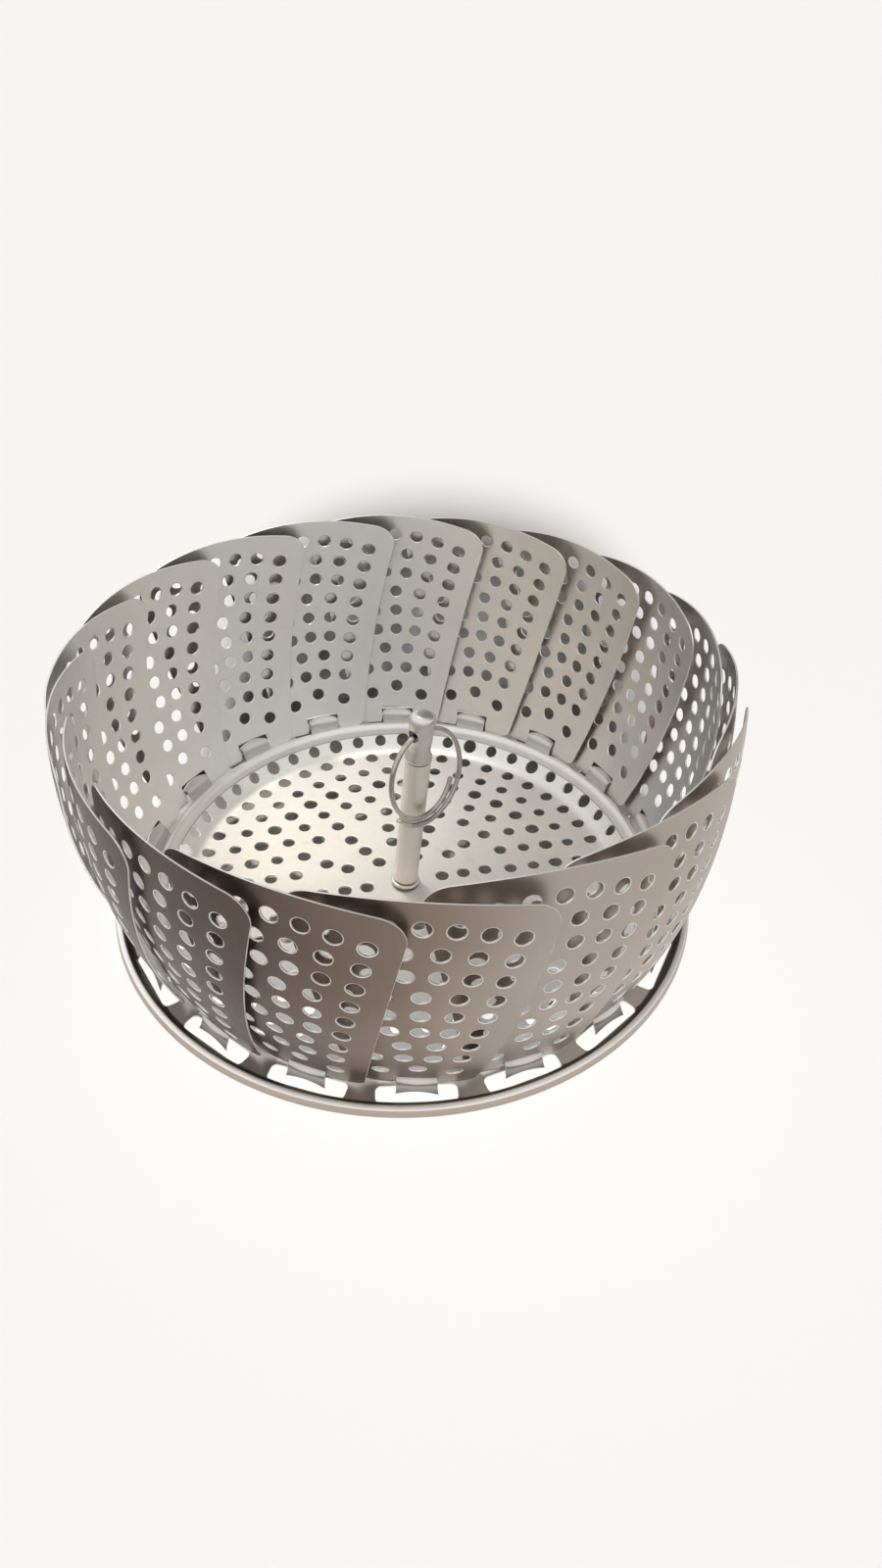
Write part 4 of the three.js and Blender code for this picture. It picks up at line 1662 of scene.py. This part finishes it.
    def wire_path(self, degrees: Array) -> Array:
        """Middle line of the ring: a slow spiral in a plane that leans off the post, its inner end sprung.

        Args:
            degrees: Angles from the cross hole.

        Returns:
            Points of the line, in the post's own frame.
        """
        azimuth, lean = np.radians(self.cross_azimuth), np.radians(self.ring_lean)
        along = np.array([np.cos(azimuth), np.sin(azimuth), 0.0])
        away = np.array([np.sin(azimuth), -np.cos(azimuth), 0.0])
        down = np.sin(lean) * away - np.cos(lean) * np.array([0.0, 0.0, 1.0])
        angle = np.radians(degrees)[:, None]
        sprung = self.ring_spring_start - self.ring_start
        into = np.clip((self.ring_spring_start - degrees) / sprung, 0.0, 1.0)
        radius = self.ring_radius + self.ring_pitch * degrees / 360.0 - self.ring_spring * into**1.5
        radius = radius[:, None]
        top = np.array([0.0, 0.0, self.cross_height])
        return top + down * (self.ring_radius - radius * np.cos(angle)) + along * radius * np.sin(angle)

    def ring(self) -> Skin:
        """Round wire carried along its path, with rounded ends.

        Point (i, j) is the path's point i plus the wire's radius times cos b_j across and sin b_j off the
        ring's plane. Near the ends the radius follows a quarter circle down to a point.

        Returns:
            The closed skin, in the post's own frame.
        """
        path = self.wire_path(np.linspace(self.ring_start, self.ring_end, self.ring_steps))
        azimuth, lean = np.radians(self.cross_azimuth), np.radians(self.ring_lean)
        off_plane = np.array([
            np.cos(lean) * np.sin(azimuth), -np.cos(lean) * np.cos(azimuth), np.sin(lean)
        ])
        across = unit(np.cross(unit(np.gradient(path, axis=0)), off_plane))
        along = travelled(path)
        to_end = np.minimum(along, along[-1] - along)
        short = np.clip(1.0 - to_end / self.ring_wire, 0.0, 1.0)
        radius = self.ring_wire * np.sqrt(np.maximum(1.0 - short**2, 0.0))
        cos, sin = circle(self.ring_sides).T[:, None, :, None]
        points = path[:, None] + radius[:, None, None] * (across[:, None] * cos + off_plane * sin)
        angle = 2 * np.pi * np.arange(self.ring_sides) / self.ring_sides
        flat = np.stack(np.broadcast_arrays(angle[None] * self.ring_wire, along[:, None]), axis=-1)
        return tube_skin(points, flat, False)

    def build(self) -> None:
        """Makes the post's pieces and the ring."""
        tube, bright = POST_STEEL.build(), BRIGHT_STEEL.build()
        satin = bpy.data.materials[BASE_STEEL.name]
        base = Body.BASE.value
        dress(self.set_up(self.shaft(), "post_tube"), tube, base, Slot.POST, "post_shaft")
        head = self.set_up(self.head(), "post_cap")
        self.drill(head)
        dress(head, bright, base, Slot.BRIGHT, "post_head")
        dress(self.set_up(self.collar(), "post_washer"), satin, base, Slot.BASE, "post_collar")
        dress(self.set_up(self.nut(), "hex_nut"), bright, base, Slot.BRIGHT, "post_nut")
        wire = self.set_up(self.ring(), "wire_ring")
        dress(wire, WIRE_STEEL.build(), Body.RING.value, Slot.BRIGHT, "lift_ring")

    def set_up(self, skin: Skin, name: str) -> bpy.types.Object:
        """Leans a skin of the post's frame and writes it."""
        return skin.moved(self.stand, self.lean).write(name)

    def drill(self, head: bpy.types.Object) -> None:
        """Cuts the cross hole through the head with a round bar.

        Args:
            head: The head's piece, changed in place.
        """
        r, reach, sides = self.cross_radius, 6.0, 48
        bar = turned_skin(np.array([[0.0, -reach], [r, -reach], [r, reach], [0.0, reach]]), sides)
        lay_down = np.array([[0.0, 0.0, -1.0], [0.0, 1.0, 0.0], [1.0, 0.0, 0.0]])
        lift = np.array([0.0, 0.0, self.cross_height])

        def lay(points: Array) -> Array:
            """Lays the bar down in the cross hole's direction and lifts it to its height."""
            return self.stand(turn_about_z(points @ lay_down, self.cross_azimuth) + lift)

        cutter = bar.moved(lay).write("cross_bar")
        cut = head.modifiers.new("Cross hole", "BOOLEAN")
        cut.operation = "DIFFERENCE"
        cut.solver = "EXACT"
        cut.object = cutter
        evaluated = head.evaluated_get(bpy.context.evaluated_depsgraph_get())
        drilled = bpy.data.meshes.new_from_object(evaluated)
        head.modifiers.clear()
        head.data = drilled
        drilled.set_sharp_from_angle(angle=np.radians(SHARP_ANGLE))
        bpy.data.objects.remove(cutter)


@dataclass
class Legs:
    """Three folding legs: a strip curled round a pin, held by a bent bracket under the floor.

    Attributes:
        count: Number of legs.
        phase: Azimuth of the first leg, in degrees.
        radius: Distance of the pins from the axis.
        pin_height: Height of the pins above the ground.
        pin_radius: Radius of a pin.
        strip_width: Width of a leg's strip.
        strip_sheet: Thickness of the strip.
        curl_radius: Radius of the strip's curl round the pin.
        curl_start: Angle at which the curl starts, in degrees.
        curl_end: Angle at which it ends.
        splay: How far out a leg's foot stands from its pin.
        foot: Length of the foot.
        bracket_sheet: Thickness of a bracket.
        bracket_half_width: Half of the distance between its ears.
        bracket_length: Length of the bracket across the pin.
        bracket_top: Height of its top.
        ear_bottom: Height of its ears' ends.
        pin_hole: Diameter of the pin's hole in each ear.
        rounding: Width of the rounded edge.
    """

    count: int = 3
    phase: float = 90.0
    radius: float = 38.0
    pin_height: float = 12.9
    pin_radius: float = 0.9
    strip_width: float = 7.6
    strip_sheet: float = 0.85
    curl_radius: float = 1.475
    curl_start: float = 205.0
    curl_end: float = -70.0
    splay: float = 2.2
    foot: float = 4.5
    bracket_sheet: float = 0.6
    bracket_half_width: float = 4.5
    bracket_length: float = 6.0
    bracket_top: float = 15.4
    ear_bottom: float = 10.9
    pin_hole: float = 2.1
    rounding: float = 0.14

    def set_out(self, skin: Skin, number: int, name: str) -> bpy.types.Object:
        """Moves a skin from the pin's frame to a leg's place and writes it.

        Args:
            skin: The skin, with the pin at the axis.
            number: The leg's number, from 0.
            name: Name of the piece.

        Returns:
            The piece.
        """
        azimuth = self.phase + 360.0 / self.count * number
        shift = np.array([self.radius, 0.0, 0.0])

        def turn(vectors: Array) -> Array:
            """Turns vectors to the leg's azimuth."""
            return turn_about_z(vectors, azimuth)

        return skin.moved(lambda points: turn(points + shift), turn).write(name)

    def strip(self) -> Skin:
        """Leg strip: its path curls round the pin, runs down with a splay and turns out into a foot.

        Returns:
            The closed skin, with the pin at the axis.
        """
        half = 0.5 * self.strip_sheet
        curl_points, knee_bend, corner, spacing = 40, 0.9, 0.8, 0.5
        pin = (0.0, self.pin_height)
        curl = arc_points(pin, self.curl_radius, self.curl_start, self.curl_end, curl_points)
        knee = np.array([[self.splay + half, half]])
        toe = np.array([[self.splay + self.foot - half, half]])
        tail = rounded_line(np.vstack([curl[-1:], knee, toe]), knee_bend, 8)
        path = ProfileLine(np.vstack([curl, tail[1:]]))

        def place(flat: Array, lift: Array) -> Array:
            """Flat points run along the leg's path and across the strip."""
            bent = path.at(flat[:, 0], lift)
            return np.stack([bent[:, 0], flat[:, 1], bent[:, 1]], axis=-1)

        side = 0.5 * self.strip_width
        outline = rounded_rectangle((0.0, -side), (path.length, side), corner, 6)
        outline = thicken_outline(outline, spacing)
        fill = grid_points(np.arange(0.8, path.length - 0.7, 0.35), np.linspace(-side, side, 8)[1:-1])
        return PressedSheet(self.strip_sheet, self.rounding, place).skin(
            [Loop.around(outline, self.rounding, False)], fill
        )

    def bracket(self) -> Skin:
        """Bracket: a strip bent down at both sides, with round ears and a hole for the pin in each.

        Returns:
            The closed skin, with the pin at the axis.
        """
        half, top, low = self.bracket_half_width, self.bracket_top, self.ear_bottom
        bend, corner, spacing = 0.7, 1.8, 0.6
        bends = np.array([[half, low], [half, top], [-half, top], [-half, low]])
        path = ProfileLine(rounded_line(bends, bend, 8))

        def place(flat: Array, lift: Array) -> Array:
            """Flat points run along the bent path and across it."""
            bent = path.at(flat[:, 0], -lift)
            return np.stack([flat[:, 1], bent[:, 0], bent[:, 1]], axis=-1)

        side = 0.5 * self.bracket_length
        outline = rounded_rectangle((0.0, -side), (path.length, side), corner, 8)
        outline = thicken_outline(outline, spacing)
        drop = self.pin_height - low
        centres = np.array([[drop, 0.0], [path.length - drop, 0.0]])
        cuts = round_cuts(centres, np.full(2, self.pin_hole), self.rounding, 24)
        fill = grid_points(np.arange(0.9, path.length - 0.8, 0.4), np.linspace(-side, side, 8)[1:-1])
        edge_margin, ear, ear_margin, hole_room = 0.5, 2.0, 1.6, 1.5
        off_middle = np.abs(fill[:, 1])
        inner = (off_middle < side - edge_margin) & clear_of(fill, centres, np.full(2, hole_room))
        in_ear = np.minimum(fill[:, 0], path.length - fill[:, 0]) < ear
        fill = fill[inner & ~(in_ear & (off_middle > side - ear_margin))]
        return PressedSheet(self.bracket_sheet, self.rounding, place).skin(
            [Loop.around(outline, self.rounding, False), *cuts], fill
        )

    def pin(self) -> Skin:
        """Pin with a low domed head on each end.

        Returns:
            The closed skin, lying across the leg.
        """
        r, face, head = self.pin_radius, 1.1, 1.6
        under, brow, end = 5.1, 5.4, 5.7
        outline = np.array([
            [0.0, -end], [face, -end], [head, -brow], [head, -under], [r, -under],
            [r, under], [head, under], [head, brow], [face, end], [0.0, end],
        ])
        lay_down = np.array([[1.0, 0.0, 0.0], [0.0, 0.0, -1.0], [0.0, 1.0, 0.0]])
        lift = np.array([0.0, 0.0, self.pin_height])
        upright = turned_skin(rounded_line(outline, 0.2, 4), 40)
        return upright.moved(lambda points: points @ lay_down + lift)

    def build(self) -> None:
        """Makes strip, bracket and pin of each leg."""
        steel, bright = LEG_STEEL.build(), bpy.data.materials[BRIGHT_STEEL.name]
        strip, bracket, pin = self.strip(), self.bracket(), self.pin()
        base = Body.BASE.value
        for number in range(self.count):
            mark = number + 1
            leg = f"leg_{mark}"
            dress(self.set_out(strip, number, f"leg_strip_{mark}"), steel, leg, Slot.LEG, leg)
            ears = self.set_out(bracket, number, f"leg_ears_{mark}")
            dress(ears, steel, base, Slot.LEG, f"leg_bracket_{mark}")
            rivet = self.set_out(pin, number, f"hinge_pin_{mark}")
            dress(rivet, bright, base, Slot.BRIGHT, f"leg_pin_{mark}")


@dataclass
class Studio:
    """Pale floor, soft lamps and the camera.

    Attributes:
        eye: Camera position above the floor's centre, heights from the top face of the basket's floor.
        elevation: Downward tilt of the view, in degrees.
        roll: Turn of the picture about the view, in degrees.
        focal_pixels: Focal length in pixels of the picture's long side.
        sensor: Width of the camera's sensor.
        floor_size: Half of the floor's width, in metres.
        floor_colour: Colour of the floor.
        key_azimuth: Direction that the key light comes from, in degrees.
        key_height: Height of the key light, in degrees.
        key_spread: Width of the key light, in degrees.
        key_strength: Strength of the key light.
        key_colour: Colour of the key light.
        dim_level: Share of the surround's brightness that lights the floor.
        shade_azimuth: Direction of the surround's greyest side, in degrees.
        shade_height: Height of that side, in degrees.
        shade_colour: Colour of that side.
        shade_start: Cosine of the angle off that side at which the grey starts.
        shade_full: Cosine of the angle at which it is full.
        room_colour: Colour of the rest of the surround.
        fill_azimuth: Direction that the fill light comes from, in degrees.
        fill_height: Height of the fill light, in degrees.
        fill_aim: Point on the basket's floor that the fill light is turned to.
        fill_distance: Distance of the fill light from that point.
        fill_width: Width of the fill light's cone, in degrees.
        fill_size: Radius of the fill light.
        fill_power: Power of the fill light.
        fill_colour: Colour of the fill light.
    """

    eye: tuple[float, float, float] = (8.27, -186.07, 182.12)
    elevation: float = 38.934
    roll: float = 1.831
    focal_pixels: float = 1051.6
    sensor: float = 36.0
    floor_size: float = 60.0
    floor_colour: Colour = (0.92, 0.915, 0.905)
    key_azimuth: float = -92.0
    key_height: float = 24.0
    key_spread: float = 10.0
    key_strength: float = 7.6
    key_colour: Colour = (1.0, 0.99, 0.975)
    dim_level: float = 0.03
    shade_azimuth: float = 60.0
    shade_height: float = 40.0
    shade_colour: Colour = (0.20, 0.205, 0.21)
    shade_start: float = 0.74
    shade_full: float = 0.93
    room_colour: Colour = (1.0, 0.995, 0.985)
    fill_azimuth: float = 118.0
    fill_height: float = 74.0
    fill_aim: tuple[float, float, float] = (-28.0, 26.0, 0.0)
    fill_distance: float = 600.0
    fill_width: float = 10.5
    fill_size: float = 20.0
    fill_power: float = 6.5
    fill_colour: Colour = (1.0, 0.91, 0.77)

    def camera(self) -> None:
        """Sets the camera by its position, tilt and roll."""
        tilt, roll = np.radians(self.elevation), np.radians(self.roll)
        right = np.array([1.0, 0.0, 0.0])
        up = np.array([0.0, np.sin(tilt), np.cos(tilt)])
        forward = np.array([0.0, np.cos(tilt), -np.sin(tilt)])
        axis_x = np.cos(roll) * right + np.sin(roll) * up
        axis_y = -np.sin(roll) * right + np.cos(roll) * up
        data = bpy.data.cameras.new("photo_camera")
        data.sensor_width = self.sensor
        data.lens = self.focal_pixels / IMAGE_LONG_SIDE * self.sensor
        data.clip_start = 0.01
        camera = link_object("photo_camera", data)
        place = np.eye(4)
        place[:3, :3] = np.stack([axis_x, axis_y, -forward], axis=-1)
        place[:3, 3] = (np.array(self.eye) + np.array([0.0, 0.0, FLOOR_TOP])) * MM
        camera.matrix_world = Matrix(place.tolist())
        bpy.context.scene.camera = camera

    def floor(self) -> None:
        """Lays a wide pale floor."""
        size = self.floor_size
        mesh = bpy.data.meshes.new("studio_floor")
        corners = [(-size, -size, 0.0), (size, -size, 0.0), (size, size, 0.0), (-size, size, 0.0)]
        mesh.from_pydata(corners, [], [(0, 1, 2, 3)])
        floor = link_object("studio_floor", mesh)
        material = bpy.data.materials.new("pale_floor")
        material.use_nodes = True
        shader = material.node_tree.nodes["Principled BSDF"]
        shader.inputs["Base Color"].default_value = (*self.floor_colour, 1.0)
        shader.inputs["Roughness"].default_value = 1.0
        shader.inputs["Specular IOR Level"].default_value = 0.0
        mesh.materials.append(material)

    @staticmethod
    def direction(azimuth: float, height: float) -> Vector:
        """Direction toward a place in the studio.

        Args:
            azimuth: Angle round the Z axis from +X, in degrees.
            height: Angle above the floor, in degrees.

        Returns:
            The unit vector.
        """
        turn, rise = np.radians(azimuth), np.radians(height)
        return Vector((np.cos(rise) * np.cos(turn), np.cos(rise) * np.sin(turn), np.sin(rise)))

    @staticmethod
    def hang(data: bpy.types.Light, toward: Vector, aim: Vector, distance: float) -> bpy.types.Object:
        """Hangs a lamp so that it shines on a point.

        Args:
            data: The lamp.
            toward: Direction from the point to the lamp.
            aim: The point.
            distance: Distance of the lamp from it.

        Returns:
            The lamp's object.
        """
        lamp = link_object(data.name, data)
        lamp.location = (aim + toward * distance) * MM
        lamp.rotation_euler = (-toward).to_track_quat("-Z", "Y").to_euler()
        return lamp

    def key(self) -> None:
        """Adds one wide, soft key light that reaches all of the floor alike."""
        data = bpy.data.lights.new("key_light", "SUN")
        data.energy = self.key_strength
        data.angle = np.radians(self.key_spread)
        data.color = self.key_colour
        toward = self.direction(self.key_azimuth, self.key_height)
        lamp = self.hang(data, toward, Vector(), 1.0 / MM)
        lamp.visible_glossy = False

    def fill(self) -> None:
        """Adds a small warm lamp over the back that brightens the left half of the basket's floor."""
        data = bpy.data.lights.new("fill_light", "SPOT")
        data.energy = self.fill_power
        data.color = self.fill_colour
        data.spot_size = np.radians(self.fill_width)
        data.spot_blend = 1.0
        data.shadow_soft_size = self.fill_size * MM
        aim = Vector(self.fill_aim) + Vector((0.0, 0.0, FLOOR_TOP))
        self.hang(data, self.direction(self.fill_azimuth, self.fill_height), aim, self.fill_distance)

    def world(self) -> None:
        """Sets the surround: bright for the camera and for reflections, dim as a lamp."""
        world = bpy.data.worlds.new("studio_world")
        world.use_nodes = True
        board = NodeBoard(world.node_tree)
        shade = world.node_tree.nodes["Background"]
        path = board.add("LightPath", {})
        seen = board.math("MAXIMUM", path.outputs["Is Camera Ray"], path.outputs["Is Glossy Ray"])
        limits = {"Value": seen, "To Min": self.dim_level, "To Max": 1.0}
        board.put(board.add("MapRange", limits).outputs["Result"], shade.inputs["Strength"])
        board.put(self.sky(board), shade.inputs["Color"])
        bpy.context.scene.world = world

    def sky(self, board: NodeBoard) -> Socket:
        """Adds the room: white, with one greyer side at the back right.

        Args:
            board: The surround's nodes.

        Returns:
            The room's colour.
        """
        place = board.add("TexCoord", {})
        grey_side = self.direction(self.shade_azimuth, self.shade_height)
        pair = {0: place.outputs["Generated"], 1: grey_side}
        facing = board.add("VectorMath", pair, operation="DOT_PRODUCT")
        ramp = board.add("ValToRGB", {"Fac": facing.outputs["Value"]})
        ramp.color_ramp.interpolation = "EASE"
        room, grey = ramp.color_ramp.elements
        room.position, room.color = self.shade_start, (*self.room_colour, 1.0)
        grey.position, grey.color = self.shade_full, (*self.shade_colour, 1.0)
        return ramp.outputs["Color"]

    def build(self) -> None:
        """Builds floor, lamps, surround and camera."""
        self.floor()
        self.world()
        self.key()
        self.fill()
        self.camera()
        bpy.context.scene.view_settings.view_transform = "Standard"


def main() -> None:
    """Builds the studio and every piece of the basket."""
    logging.basicConfig(level=logging.INFO, format="%(name)s %(message)s")
    Studio().build()
    BasePlate().build()
    Petals().build()
    CentrePost().build()
    Legs().build()


if __name__ == "__main__":
    main()
